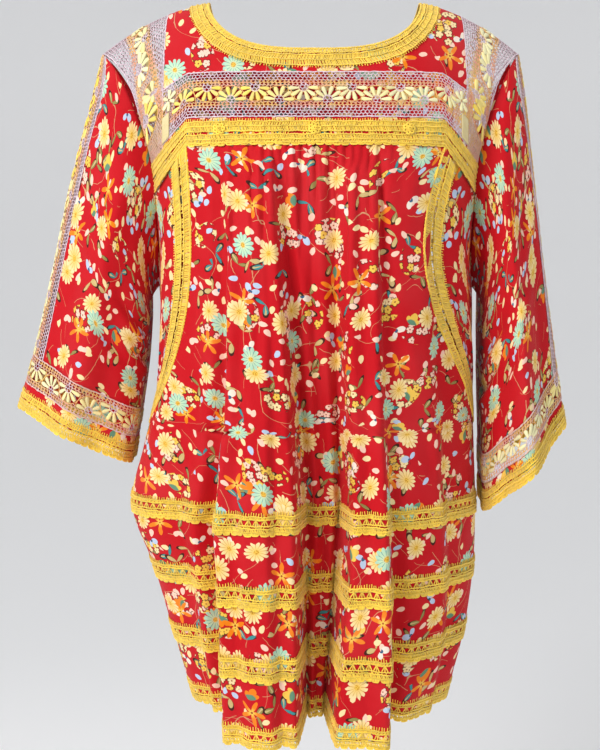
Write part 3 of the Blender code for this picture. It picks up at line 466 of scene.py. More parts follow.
    # Orange lilies with thin, pointed petals
    distance, turn, chance, tone = scatter(0.068, 4.4, 0.8, 1.1)
    edge = w.math("MULTIPLY_ADD", petals(turn, 5.0, 2.6), 0.0120, 0.0022)
    shown = both(inside_of(edge, distance), over(chance, 0.35))
    bloom = w.mix(inside_of(0.0062, distance, 0.004), ORANGE, YELLOW)
    colour = w.mix(shown, colour, w.mix(inside_of(0.0014, distance), bloom, (0.35, 0.05, 0.01, 1)))
    # Large daisies, cream or mint, with many pointed petals and a yellow eye
    for cell, offset, pale, deep, gap, oval in (
        (0.060, 0.9, CREAM, YELLOW, OCHRE, 1.28),
        (0.074, 17.7, CREAM, YELLOW, OCHRE, 1.12),
        (0.084, 7.3, MINT, (0.66, 0.74, 0.42, 1), TEAL, 1.05),
    ):
        distance, turn, chance, tone = scatter(cell, offset, 0.8, oval)
        lobe = petals(turn, 13.0, 0.75)
        ragged = both(w.math("SUBTRACT", w.noise(flat, 330.0, 0.0), 0.5), 0.0040)
        edge = w.math("ADD", w.math("MULTIPLY_ADD", lobe, 0.0038, 0.0084), ragged)
        shown = both(inside_of(edge, distance), over(chance, 0.24))
        between = both(w.math("LESS_THAN", lobe, 0.40), over(distance, 0.0036))
        petal = w.mix(both(distance, 95.0), deep, pale)
        petal = w.mix(both(between, 0.75), petal, gap)
        eye = w.mix(over(w.noise(flat, 900.0, 0.0), 0.5), YELLOW, OCHRE)
        colour = w.mix(shown, colour, w.mix(inside_of(0.0033, distance, 0.0012), petal, eye))
    # The dye is uneven and the crowns of the folds are a little faded
    worn = w.noise(flat, 9.0, 3.0)
    faded = w.node("HueSaturation", {"Color": colour, "Saturation": w.math("MULTIPLY_ADD", worn, -0.10, 1.05)})
    w.put(w.math("MULTIPLY_ADD", worn, 0.24, 0.88), faded.inputs["Value"])
    w.tree.links.new(faded.outputs["Color"], w.shader.inputs["Base Color"])
    threads = w.node("TexChecker", {"Vector": flat, "Scale": 1400.0}).outputs["Fac"]
    slub = w.noise(w.vector("MULTIPLY", flat, (240.0, 1400.0, 1.0)), 1.0, 2.0)
    w.bump(w.math("ADD", w.math("MULTIPLY", threads, 0.5), slub), 0.35, 0.0003)
    return w.material


cotton = printed_cotton("printed_red_cotton")


# The U round each side panel: how square it is, and how far it bulges to the front on each side and behind
U_SQUARENESS = 2.6
U_BULGES = {-1: 0.02, 1: 0.24}
U_BULGE_BEHIND = 0.02


def side_turn(z, foot, top_x, sign, behind):
    """Angle, from the middle, of the U round the side panel that starts at top_x on the yoke seam."""
    reach = math.pi / 2 - float(angle_at(top_x, YOKE_SEAM))
    k = min(max((YOKE_SEAM - z) / (YOKE_SEAM - foot), 0.0), 1.0)
    bulge = U_BULGE_BEHIND if behind else U_BULGES[sign]
    narrowed = (1 - k**U_SQUARENESS) ** (1 / U_SQUARENESS)
    return math.pi / 2 - reach * narrowed * (1 + bulge * math.sin(math.pi * min(1.2 * k, 1.0)))


def body_angles(z, behind, finely=8):
    """Angles of the fine columns of the front or back at one height, evenly many between two fold lines."""
    lines, _ = lines_at(z)
    first, last = (BACK_START, len(lines) - 1) if behind else (0, BACK_START)
    places = np.arange(first, last + 1e-9, 1 / finely)
    angles = np.interp(places, np.arange(len(lines)), lines)
    middle = math.pi if behind else 0.0
    ends = (1, -1) if behind else (-1, 1)
    low, high = (side_turn(z, UNDER_FOOT, UNDER_START, end, behind) for end in ends)
    turned = angles - middle
    return middle + turned * np.where(turned < 0, -low / turned[0], high / turned[-1])


def trough(across, half_width, ridge):
    """Across a crease: a soft trough, and beside it a ridge of this share of its depth."""
    beside = across - 2 * half_width
    return np.exp(-((across / half_width) ** 2)) - ridge * np.exp(-((beside / half_width) ** 2))


def creased(points, out, table):
    """How far the cloth is pressed in at each point by the creases of a table."""
    sunk = np.zeros(points.shape[:2])
    for x, z, half_length, half_width, depth, lean in table:
        c, s = math.cos(math.radians(lean)), math.sin(math.radians(lean))
        dx, dz = points[..., 0] - x, points[..., 2] - z
        along, across = dz * c + dx * s, dx * c - dz * s
        fade = np.clip(1 - (along / half_length) ** 2, 0, 1) ** 1.5
        sunk += depth * fade * trough(across, half_width, 0.6)
    return points - out * sunk[..., None]


for label, behind, width, length in (("front", False, 0.60, 0.56), ("back", True, 0.58, 0.56)):
    upper, lower = np.linspace(YOKE_SEAM, GATHERS_FOOT, 22), np.linspace(GATHERS_FOOT, CLOTH_HEM - UNDER_HEM, 74)
    heights = np.concatenate([upper[:-1], lower])
    angle = np.array([body_angles(z, behind) for z in heights])
    z = np.broadcast_to(heights[:, None], angle.shape)
    points, out = body_point(angle, z), facing_out(body_point, angle, z, (0, 0, -0.45))
    flat = flat_lengths(points)
    # Sines of uneven lengths keep the gathers from being evenly spaced
    uneven = 2.3 * np.sin(flat[0] * 37.0), 1.1 * np.sin(flat[0] * 83.0)
    gathers = np.sin(flat[0] / GATHER_PITCH * 2 * math.pi + uneven[0] + uneven[1])
    fade = np.clip(1 - (YOKE_SEAM - z) / GATHER_FADE / (1 + 0.5 * np.sin(flat[0] * 61.0)), 0, 1)
    points = creased(points + out * (GATHER_HEIGHT * gathers * fade)[..., None], out, CREASES[behind])
    cloth = lay_cloth(f"body_{label}_cloth", points, flat, cotton)
    fit_on(cloth, f"body_{label}")

# Panels under the arms. Flat printed cotton, cut to the armhole above and rounded at the foot, where the crochet
# that joins it to front and back runs round it in a U.

YOKE_CORNER_DROP = 0.042
UNDERARM = -0.285
CORNER_HALF = 0.161
SHOULDER_HALF = {-1: 0.219, 1: 0.211}
SHOULDER_DROP = 0.050
SHOULDER_Y = 0.005
# Each sleeve: its side of X; its sections, as share along, outer x and z, inner x and z, middle y, half depth; its
# lengthwise folds, as share round, then height near the armhole and at the cuff in mm
SLEEVES = {
    "right": (
        -1,
        (
            (0.00, 0.219, -0.050, 0.161, -0.285, 0.006, 0.080),
            (0.15, 0.229, -0.090, 0.171, -0.300, 0.006, 0.077),
            (0.35, 0.252, -0.175, 0.173, -0.330, 0.008, 0.073),
            (0.60, 0.274, -0.276, 0.178, -0.376, 0.013, 0.068),
            (0.80, 0.292, -0.348, 0.186, -0.424, 0.018, 0.065),
            (1.00, 0.313, -0.416, 0.195, -0.474, 0.022, 0.061),
        ),
        (
            (0.10, 3, 5), (0.17, 0, 0), (0.24, 4, 9), (0.32, 0, -2), (0.40, 3, 7),
            (0.50, 0, 0), (0.62, 3, 7), (0.72, 0, -1), (0.82, 3, 8), (0.90, 0, 0),
        ),
    ),
    "left": (
        1,
        (
            (0.00, 0.211, -0.055, 0.161, -0.285, 0.006, 0.080),
            (0.15, 0.217, -0.095, 0.172, -0.302, 0.002, 0.080),
            (0.35, 0.227, -0.188, 0.173, -0.348, -0.002, 0.080),
            (0.60, 0.237, -0.285, 0.174, -0.405, -0.005, 0.079),
            (0.80, 0.247, -0.362, 0.176, -0.458, -0.007, 0.077),
            (1.00, 0.258, -0.432, 0.178, -0.517, -0.008, 0.075),
        ),
        (
            (0.08, 2, 6), (0.155, 0, -6), (0.26, 4, 10), (0.35, 0, -3), (0.42, 3, 8),
            (0.52, 0, 0), (0.62, 3, 7), (0.72, 0, -2), (0.82, 3, 8), (0.91, 0, 0),
        ),
    ),
}


def seam_height(x):
    """Height of the seam between yoke and body: level across the middle, falling to the armholes."""
    return YOKE_SEAM - YOKE_CORNER_DROP * np.clip((np.abs(x) - DROP_START) / (CORNER_HALF - DROP_START), 0, 1.2)


def armhole_half(t, sign=1):
    """Half width of the shoulders' surface at the armhole, from the seam, t = 0, to the ridge, t = 1."""
    tip = np.where(np.asarray(sign) < 0, SHOULDER_HALF[-1], SHOULDER_HALF[1])
    return CORNER_HALF + (tip - CORNER_HALF) * smoothstep(t) ** 0.9


def yoke_point(x, t, behind=False):
    """Points on the shoulders: t runs from the yoke seam up to the ridge, in front or behind."""
    x, t = np.broadcast_arrays(np.asarray(x, float), np.asarray(t, float))
    t = np.clip(t, 0, 1)
    wide = np.abs(x)
    beyond = np.clip(wide - DROP_START, 0, None) * (CORNER_HALF - DROP_START) / (armhole_half(t, x) - DROP_START)
    foot_x = np.sign(x) * (np.minimum(wide, DROP_START) + beyond)
    foot_z = seam_height(foot_x)
    foot_y = plain_body(angle_at(foot_x, foot_z, behind), foot_z)[1]
    tip = np.where(x < 0, SHOULDER_HALF[-1], SHOULDER_HALF[1])
    ridge_z = -SHOULDER_DROP * np.clip((wide - 0.100) / (tip - 0.100), 0, 1.1) ** 1.8
    way = 1.0 if behind else -1.0
    side = (wide / tip) ** 2
    ridge_y = SHOULDER_Y + 0.006 * side
    # One smooth curve from the seam, up over the chest or the back, to the ridge
    a, b, c, d = (1 - t) ** 3, 3 * t * (1 - t) ** 2, 3 * t * t * (1 - t), t**3
    y = a * foot_y + b * (foot_y - 0.008 * way * (1 - side)) + c * (ridge_y + (0.058 - 0.022 * side) * way)
    y = y + d * ridge_y
    z = a * foot_z + b * (foot_z + 0.060 + 0.012 * side) + c * (ridge_z - 0.002) + d * ridge_z
    return np.stack([x, y, z], -1)


def yoke_share(distance, behind=False):
    """The t of yoke_point at this distance above the seam, measured up the middle of the yoke."""
    steps = np.linspace(0, 1, 201)
    return np.interp(distance, run_along(yoke_point(np.zeros(201), steps, behind)), steps)


CORNER_Z = float(seam_height(CORNER_HALF))
CORNER_SWING = math.pi / 2 - float(angle_at(CORNER_HALF, CORNER_Z))


def under_arm(sign, swing, behind=False):
    """The armhole below the yoke, by its angle away from the side of the body."""
    z = CORNER_Z + (UNDERARM - CORNER_Z) * np.clip(np.cos(swing / CORNER_SWING * math.pi / 2), 0, 1) ** 0.8
    angle = math.pi / 2 + (swing if behind else -swing)
    x, y, _ = plain_body(sign * angle, z)
    return np.stack([x, y, z], -1)


def armhole_table(sign, count=161):
    """Both halves of an armhole: its marks, +1 shoulder tip, 0 yoke corner, -1 under the arm; shares; points."""
    marks = np.linspace(1, -1, 2 * count - 1)
    halves = []
    for behind in (False, True):
        upper = yoke_point(sign * armhole_half(marks[:count], sign), marks[:count], behind)
        lower = under_arm(sign, CORNER_SWING * (1 + marks[count:]), behind)
        points = np.concatenate([upper, lower])
        run = run_along(points)
        halves.append((marks, run / run[-1], points))
    return halves


ARMHOLES = {sign: armhole_table(sign) for sign in (-1, 1)}


def panel_column(sign, c):
    """Point at the top of the side panel: c runs 0 to 10 from the front seam, round under the arm, to the back."""
    behind = c > 5
    c = 10 - c if behind else c
    corner = under_arm(sign, np.array(CORNER_SWING), behind)
    if c < 1:
        start = yoke_point(sign * SIDE_INNER, 0.0, behind)
        return start + (corner - start) * c
    return under_arm(sign, np.array(CORNER_SWING * (1 - (c - 1) / 4)), behind)


for side in SLEEVES:
    sign = SLEEVES[side][0]
    columns = np.linspace(0, 10, 81)
    top = np.array([panel_column(sign, c) for c in columns])
    last = SIDE_PANEL_FOOT + 0.0006
    dip = seam_height(SIDE_INNER) - top[:, 2]

    def panel_row(z):
        turns = [math.pi / 2 - side_turn(z, SIDE_PANEL_FOOT, SIDE_INNER, sign, behind) for behind in (False, True)]
        angle = sign * (math.pi / 2 - turns[0] + (turns[0] + turns[1]) * columns / 10)
        return angle, z - dip * (1 - (YOKE_SEAM - z) / (YOKE_SEAM - last))

    rows = [*np.linspace(-0.190, -0.400, 36), *(SIDE_PANEL_FOOT + 0.018 * np.linspace(1, 0.033, 14)[1:] ** 1.6)]
    angle, z = (np.array(part) for part in zip(*[panel_row(h) for h in rows]))
    points, out = body_point(angle, z), facing_out(body_point, angle, z, (0, 0, -0.35))
    share = np.linspace(0, 1, 9)[:-1, None, None]
    points = np.concatenate([top[None] + (points[:1] - top[None]) * share, points])
    out = np.concatenate([np.repeat(out[:1], 8, axis=0), out])
    ripple = 0.0012 * np.sin(columns * 2.4 + points[..., 2] * 30) * smoothstep((points[..., 2] + 0.415) / 0.03)
    points = points + out * (ripple * smoothstep((-0.19 - points[..., 2]) / 0.03))[..., None]
    cloth = lay_cloth(f"side_panel_{side}_cloth", points, flat_lengths(points), cotton)
    fit_on(cloth, f"side_panel_{side}")

# Yoke round the neck. Two flat pieces of the printed cotton, front and back, cut to a rounded square neckline and
# joined over the shoulders.

NECK_HALF = 0.108
NECK_SQUARENESS = 3.1
NECK_TRIM = 0.018
YOKE_TRIM = 0.024
RED_STRIP = 0.004
BAND = 0.048
YOKE_INSET_HALF = 0.150
YOKE_HEIGHT = 0.185
# How deep the neck is cut, as a share of the yoke, in front and behind
NECK_SHARES = {False: 0.515, True: 0.46}


def neck_loop(angle, margin, behind):
    """x and t of the neck edge, moved out by a margin; angle 0 is the middle, 90 degrees the neck point."""
    e = 2 / NECK_SQUARENESS
    x = (NECK_HALF + margin) * np.sin(angle) ** e
    return x, 1 - (NECK_SHARES[behind] + margin / YOKE_HEIGHT) * np.cos(angle) ** e


def mirrored(row, sign=1.0):
    """A half row, from the middle out, made whole."""
    return np.concatenate([sign * row[:0:-1], row])


def out_of_yoke(x, t, behind, steps=(2e-4, 1e-3)):
    """Outward directions on the shoulders."""
    return facing_out(lambda a, b: yoke_point(a, b, behind), x, t, (0, 0, -0.17), steps)


for label, behind in (("front", False), ("back", True)):
    top = float(yoke_share(YOKE_TRIM + RED_STRIP + BAND, behind))
    far = np.concatenate([np.linspace(0, YOKE_INSET_HALF, 43), np.full(24, YOKE_INSET_HALF)])
    far_t = np.concatenate([np.full(43, top), np.linspace(top, 1.0, 25)[1:]])
    count = len(far)
    angle = np.radians(np.interp(np.arange(count), [0, 42, count - 1], [0, 54, 90]))
    near, near_t = neck_loop(angle, 0.002, behind)
    share = np.linspace(0, 1, 26)[:, None]
    xs = np.array([mirrored(row, -1.0) for row in near + (far - near) * share])
    ts = np.array([mirrored(row) for row in near_t + (far_t - near_t) * share])
    points = yoke_point(xs, ts, behind)
    out = out_of_yoke(xs, np.clip(ts, 0.001, 0.999), behind)
    ripple = 0.0007 * np.sin(points[..., 0] * 70 + points[..., 2] * 45) * np.sin(share * math.pi)
    points = points + out * ripple[..., None]
    cloth = lay_cloth(f"yoke_{label}_cloth", points, (points[..., 0], points[..., 2] + 0.4), cotton)
    fit_on(cloth, f"yoke_{label}")
    depth, area = (0.112, 0.0205) if behind else (0.110, 0.0195)

# Sleeves. Wide, elbow long, each one width of the printed cotton that leaves out the drawn-thread band down its
# top; it hangs in soft lengthwise folds and ends where the band above the cuff begins.

SLEEVE_BAND = 0.056
CUFF_BAND = 0.030
CUFF_BORDER = 0.009
CUFF_TRIM = 0.020
CUFF_UNDER = 0.009
CUFF = CUFF_BAND + CUFF_BORDER + CUFF_TRIM
FAN_PITCH = 0.0265
# How far the band lies in front of the sleeve's outer edge: share along, share of the girth
BAND_SWING = {
    "right": ((0.0, 0.0), (0.2, 0.035), (0.45, 0.060), (1.0, 0.062)),
    "left": ((0.0, 0.0), (0.2, 0.016), (0.45, 0.026), (1.0, 0.044)),
}
OUTER_PINCH = 0.30
SLEEVE_SQUARENESS = 2.3


def armhole_share(sign, mark, behind=False):
    """Share round the armhole of a mark: 0 the shoulder tip, then down the front, 0.5 under the arm."""
    marks, run, _ = ARMHOLES[sign][int(behind)]
    half = 0.5 * np.interp(mark, marks[::-1], run[::-1])
    return 1 - half if behind else half


def armhole_point(sign, s):
    """A point of the armhole at this share round it."""
    s = np.asarray(s, float) % 1.0
    found = np.zeros(s.shape + (3,))
    for half, place in ((0, s * 2), (1, (1 - s) * 2)):
        _, run, points = ARMHOLES[sign][half]
        for k in range(3):
            value = np.interp(place, run, points[:, k])
            found[..., k] = np.where((s <= 0.5) == (half == 0), value, found[..., k])
    return found


def sleeve_point(side, s, t):
    """Points on a sleeve: s round the arm, t from the armhole to the edge of the cuff."""
    sign, rows, folds = SLEEVES[side]
    s, t = np.broadcast_arrays(np.asarray(s, float), np.asarray(t, float))
    turn = 2 * math.pi * s
    across, down = np.cos(turn), np.sin(turn)
    full = (np.abs(across) ** SLEEVE_SQUARENESS + np.abs(down) ** SLEEVE_SQUARENESS) ** (-1 / SLEEVE_SQUARENESS)

    def ring(share):
        outer_x, outer_z, inner_x, inner_z, middle_y, deep = through_rows(share, rows)
        wide_x, wide_z = outer_x - inner_x, outer_z - inner_z
        x = (outer_x + inner_x) / 2 + wide_x / 2 * across * full
        z = (outer_z + inner_z) / 2 + wide_z / 2 * across * full
        length = np.hypot(wide_x, wide_z)
        out = np.stack([wide_x / length * across, -down, wide_z / length * across], -1)
        pinch = 1 - OUTER_PINCH * np.clip(across * full, 0, 1) * smoothstep(share / 0.3)
        return np.stack([x, middle_y - deep * down * full * pinch, z], -1), out

    point, out = ring(t)
    start, _ = ring(np.zeros(t.shape))
    hole = armhole_point(sign, s) * np.array([sign, 1, 1])
    point = point + (hole - start) * (np.clip(1 - t, 0, 1) ** 4)[..., None]
    places, upper, lower = np.array([(0, 0, 0), *folds, (1, 0, 0)], float).T
    upper, lower = upper / 1000, lower / 1000
    turned = s % 1.0
    k = np.clip(np.searchsorted(places, turned) - 1, 0, len(places) - 2)
    share = smoothstep((turned - places[k]) / (places[k + 1] - places[k]))
    first = upper[k] + (upper[k + 1] - upper[k]) * share
    second = lower[k] + (lower[k + 1] - lower[k]) * share
    lift = (first + (second - first) * t) * smoothstep(t / 0.25)
    return (point + out * lift[..., None]) * np.array([sign, 1, 1])


def band_swing(side, level):
    """How far the middle of the sleeve's band lies in front of its outer edge, as a share of the girth."""
    table = np.array(BAND_SWING[side])
    return np.interp(level, table[:, 0], table[:, 1])


def band_edge(side, t, back):
    """Half the width of the sleeve's band, as a share of the girth: it opens out to the armhole's fans."""
    girth, ends = SLEEVE_SHAPE[side]
    half = SLEEVE_BAND / 2 / np.interp(t, (0.0, 0.5, 1.0), girth)
    return half + (ends[back] - half) * np.clip(1 - t / 0.15, 0, 1) ** 2


def sleeve_level(side, s, distance):
    """The t that lies this distance above the edge of the cuff."""
    s = np.asarray(s, float)
    near, edge = sleeve_point(side, s, np.full(s.shape, 0.85)), sleeve_point(side, s, np.full(s.shape, 1.0))
    return 1 - distance / (np.linalg.norm(edge - near, axis=-1) / 0.15)


def over_shoulder(sign, x, q):
    """Points of the shoulders at a distance out and a share q: 0 the front seam, 1 the ridge, 2 the back seam."""
    front = yoke_point(sign * x, np.clip(q, 0, 1))
    back = yoke_point(sign * x, np.clip(2 - q, 0, 1), True)
    return np.where((q <= 1)[..., None], front, back)


def shoulder_stops(sign):
    """Places of the shoulder band's fans along it and the marks on the armhole that they reach."""
    steps = np.linspace(0, 2, 801)
    run = run_along(over_shoulder(sign, np.full(801, 0.180), steps))
    first, ridge = np.interp([float(yoke_share(YOKE_TRIM)), 1.0], steps, run)
    last = np.interp(2 - float(yoke_share(YOKE_TRIM, True)), steps, run)
    front, back = (max(2, round(length / FAN_PITCH)) for length in (ridge - first, last - ridge))
    stops = np.concatenate([np.linspace(first, ridge, front + 1), np.linspace(ridge, last, back + 1)[1:]])
    return stops, np.interp(stops, run, steps), run, steps, front


def out_of_sleeve(side, s, t, inside):
    """Outward directions on a sleeve, away from a point inside it that is given for the right-hand side of X."""
    sign = SLEEVES[side][0]
    inside = (sign * inside[0], *inside[1:])
    return facing_out(lambda a, b: sleeve_point(side, a, b), s, t, inside, (1e-4, 5e-4))


# Creases across the sleeves: share round the arm, share along it, half length round, half width along, depth, lean
SLEEVE_CREASES = (
    (0.16, 0.34, 0.07, 0.030, 0.0035, 0.25),
    (0.22, 0.47, 0.09, 0.026, 0.0030, -0.20),
    (0.30, 0.60, 0.08, 0.024, 0.0032, 0.15),
    (0.36, 0.42, 0.07, 0.028, 0.0040, -0.35),
    (0.44, 0.55, 0.08, 0.026, 0.0036, 0.30),
    (0.66, 0.45, 0.08, 0.028, 0.0034, -0.25),
    (0.76, 0.60, 0.09, 0.024, 0.0030, 0.20),
    (0.86, 0.36, 0.07, 0.028, 0.0032, 0.30),
)
SLEEVE_SHAPE = {}
for side in SLEEVES:
    sign = SLEEVES[side][0]
    _, levels, _, _, front_fans = shoulder_stops(sign)
    run = np.linspace(0, 1, 161)
    girth = [float(run_along(sleeve_point(side, run, np.full(161, t)))[-1]) for t in (0.0, 0.5, 1.0)]
    ends = (
        float(armhole_share(sign, levels[front_fans - 1])),
        float(1 - armhole_share(sign, 2 - levels[front_fans + 1], True)),
    )
    SLEEVE_SHAPE[side] = (girth, ends)
    grid_s, grid_t = [], []
    for level in np.linspace(0, 1, 66):
        s = np.linspace(band_edge(side, level, 0), 1 - band_edge(side, level, 1), 131) + band_swing(side, level)
        grid_s.append(s)
        grid_t.append(level * sleeve_level(side, s, CUFF + 0.0005))
    s, t = np.array(grid_s), np.array(grid_t)
    points = sleeve_point(side, s, t)
    out = out_of_sleeve(side, s, t, (0.22, 0.0, -0.28))
    sunk = np.zeros(s.shape)
    for at_s, at_t, long, wide, depth, lean in SLEEVE_CREASES:
        across = (t - at_t) - lean * (s - at_s)
        fade = np.clip(1 - ((s - at_s) / long) ** 2, 0, 1) ** 1.5
        sunk += depth * fade * trough(across, wide, 0.7)
    points = points - out * (sunk * smoothstep(t / 0.15))[..., None]
    cloth = lay_cloth(f"sleeve_{side}_cloth", points, flat_lengths(points), cotton)
    fit_on(cloth, f"sleeve_{side}")

# Crocheted trims. Thick yellow cotton worked in rows: teeth that bite into the cloth, close rows, a row of holes
# and a scalloped edge. They join the yoke to the body, outline the side panels, edge neck, cuffs and hem, and lie
# in three tiers across the skirt.

rng = np.random.default_rng(7)


class Strip:
    """A narrow surface given as a grid of points, rows across it and columns along, read by distances."""

    def __init__(self, points, out, closed=False):
        if closed:
            points, out = (np.concatenate([part, part[:, :1]], axis=1) for part in (points, out))
        self.points, self.out, self.closed = points, out, closed
        self.run = run_along(points[len(points) // 2])
        self.cross = np.concatenate([[0], np.cumsum(np.linalg.norm(np.diff(points, axis=0), axis=2).mean(axis=1))])
        self.length, self.depth = self.run[-1], self.cross[-1]

    def at(self, u, v, w=0.0):
        """Points at u along, v across and w out of the surface, and the outward directions there."""
        u, v, w = np.broadcast_arrays(*(np.asarray(part, float) for part in (u, v, w)))
        u = u % self.length if self.closed else np.clip(u, 0, self.length)
        beyond = v - np.clip(v, 0, self.depth)
        i = np.clip(np.searchsorted(self.run, u, side="right") - 1, 0, len(self.run) - 2)
        j = np.clip(np.searchsorted(self.cross, v, side="right") - 1, 0, len(self.cross) - 2)
        a = ((u - self.run[i]) / np.maximum(self.run[i + 1] - self.run[i], 1e-9))[..., None]
        b = ((np.clip(v, 0, self.depth) - self.cross[j]) / (self.cross[j + 1] - self.cross[j]))[..., None]

        def blend(table):
            near = table[j, i] * (1 - a) + table[j, i + 1] * a
            far = table[j + 1, i] * (1 - a) + table[j + 1, i + 1] * a
            return near * (1 - b) + far * b, far - near

        place, step = blend(self.points)
        out = unit(blend(self.out)[0])
        return place + unit(step) * beyond[..., None] + out * w[..., None], out


def drawn_strip(place, a, b, inside):
    """A strip on a surface, from its parameters along (a) and across (b)."""
    return Strip(place(a, b), facing_out(place, a, b, inside))


class Yarns:
    """Collects lengths of yarn as tubes, and makes one mesh of them."""

    def __init__(self):
        self.points, self.faces, self.colours, self.count = [], [], [], 0

    def lay(self, strip, u, v, w, radius, sides=4, colour=(1, 1, 1), flat=1.0):
        """Yarns in rows of an array, point by point along the last axis: along, across and out of the strip."""
        place, out = strip.at(u, v, w)
        along = np.gradient(place, axis=1) if place.shape[1] > 2 else np.repeat(place[:, 1:] - place[:, :1], 2, axis=1)
        along = unit(along)
        across = unit(np.cross(along, out))
        above = np.cross(across, along)
        turn = (np.arange(sides) + 0.5) / sides * 2 * math.pi + math.pi / 2
        radius = np.broadcast_to(np.asarray(radius, float), place.shape[:2])[..., None, None]
        ring = across[:, :, None] * np.cos(turn)[:, None] + above[:, :, None] * np.sin(turn)[:, None] * flat
        tube = place[:, :, None] + ring * radius
        many, long = place.shape[:2]
        index = self.count + np.arange(many * long * sides).reshape(many, long, sides)
        ahead = np.roll(index, -1, axis=2)
        quads = np.stack([index[:, :-1], ahead[:, :-1], ahead[:, 1:], index[:, 1:]], -1).reshape(-1, 4)
        self.points.append(tube.reshape(-1, 3))
        self.faces.append(quads)
        if sides == 4:
            self.faces += [index[:, 0, ::-1], index[:, -1]]
        tint = np.asarray(colour, float)
        tint = np.broadcast_to(tint[:, None] if tint.ndim == 2 else tint, (many, long, 3))
        self.colours.append(np.repeat(tint[:, :, None], sides, axis=2).reshape(-1, 3))
        self.count += many * long * sides

    def made(self, name, finish):
        mesh = bpy.data.meshes.new(name)
        points, faces = np.concatenate(self.points), np.concatenate(self.faces)
        mesh.from_pydata(points.tolist(), [], faces.tolist())
        layer = mesh.attributes.new("yarn_colour", "FLOAT_COLOR", "POINT")
        tint = np.concatenate([np.concatenate(self.colours), np.ones((self.count, 1))], axis=1)
        layer.data.foreach_set("color", tint.ravel())
        mesh.shade_smooth()
        mesh.materials.append(finish)
        made = bpy.data.objects.new(name, mesh)
        bpy.context.scene.collection.objects.link(made)
        return made


def yarn_finish(name, roughness=0.85, plies=1500.0):
    """Matt twisted cotton that takes its colour from the yarns' own attribute."""
    w = Wiring(name, roughness)
    w.shader.inputs["Sheen Weight"].default_value = 0.25
    w.shader.inputs["Sheen Roughness"].default_value = 0.6
    own = w.node("Attribute", attribute_name="yarn_colour").outputs["Color"]
    place = w.node("TexCoord").outputs["Object"]
    patchy = w.noise(place, 60.0, 2.0)
    fuzz = w.noise(place, plies, 2.0)
    shade = w.node("HueSaturation", {"Color": own, "Value": w.math("MULTIPLY_ADD", patchy, 0.30, 0.88)})
    w.tree.links.new(shade.outputs["Color"], w.shader.inputs["Base Color"])
    w.bump(fuzz, 0.5, 0.0004)
    return w.material


crochet_cotton = yarn_finish("yellow_crochet_cotton")
CROCHET_YELLOW = (0.98, 0.66, 0.055)
# Rows of each trim: how they are worked, and from what share of its depth to what share
TRIM_ROWS = {
    "tier": (("close", 0.06, 0.20), ("shells", 0.20, 0.50), ("bars", 0.50, 0.62), ("close", 0.62, 0.80)),
    "yoke": (
        ("close", 0.05, 0.24), ("close", 0.24, 0.44), ("bars", 0.44, 0.58),
        ("close", 0.58, 0.76), ("close", 0.76, 0.90),
    ),
    "side": (("close", 0.06, 0.42), ("bars", 0.42, 0.60), ("close", 0.60, 0.96)),
    "neck": (("close", 0.04, 0.34), ("close", 0.34, 0.62), ("bars", 0.62, 0.74), ("close", 0.74, 0.96)),
    "cuff": (("close", 0.05, 0.30), ("bars", 0.30, 0.44), ("close", 0.44, 0.62), ("close", 0.62, 0.80)),
}
SHELL_PITCH = 0.0080
STITCH = 0.00145
TOOTH_PITCH = 0.0026
PICOT_PITCH = 0.0032
# Radii of the yarn in chains, in posts and in edges, and how unevenly it is worked
CHAIN, POST, EDGE = 0.00078, 0.00068, 0.00082
UNEVEN = 0.0003


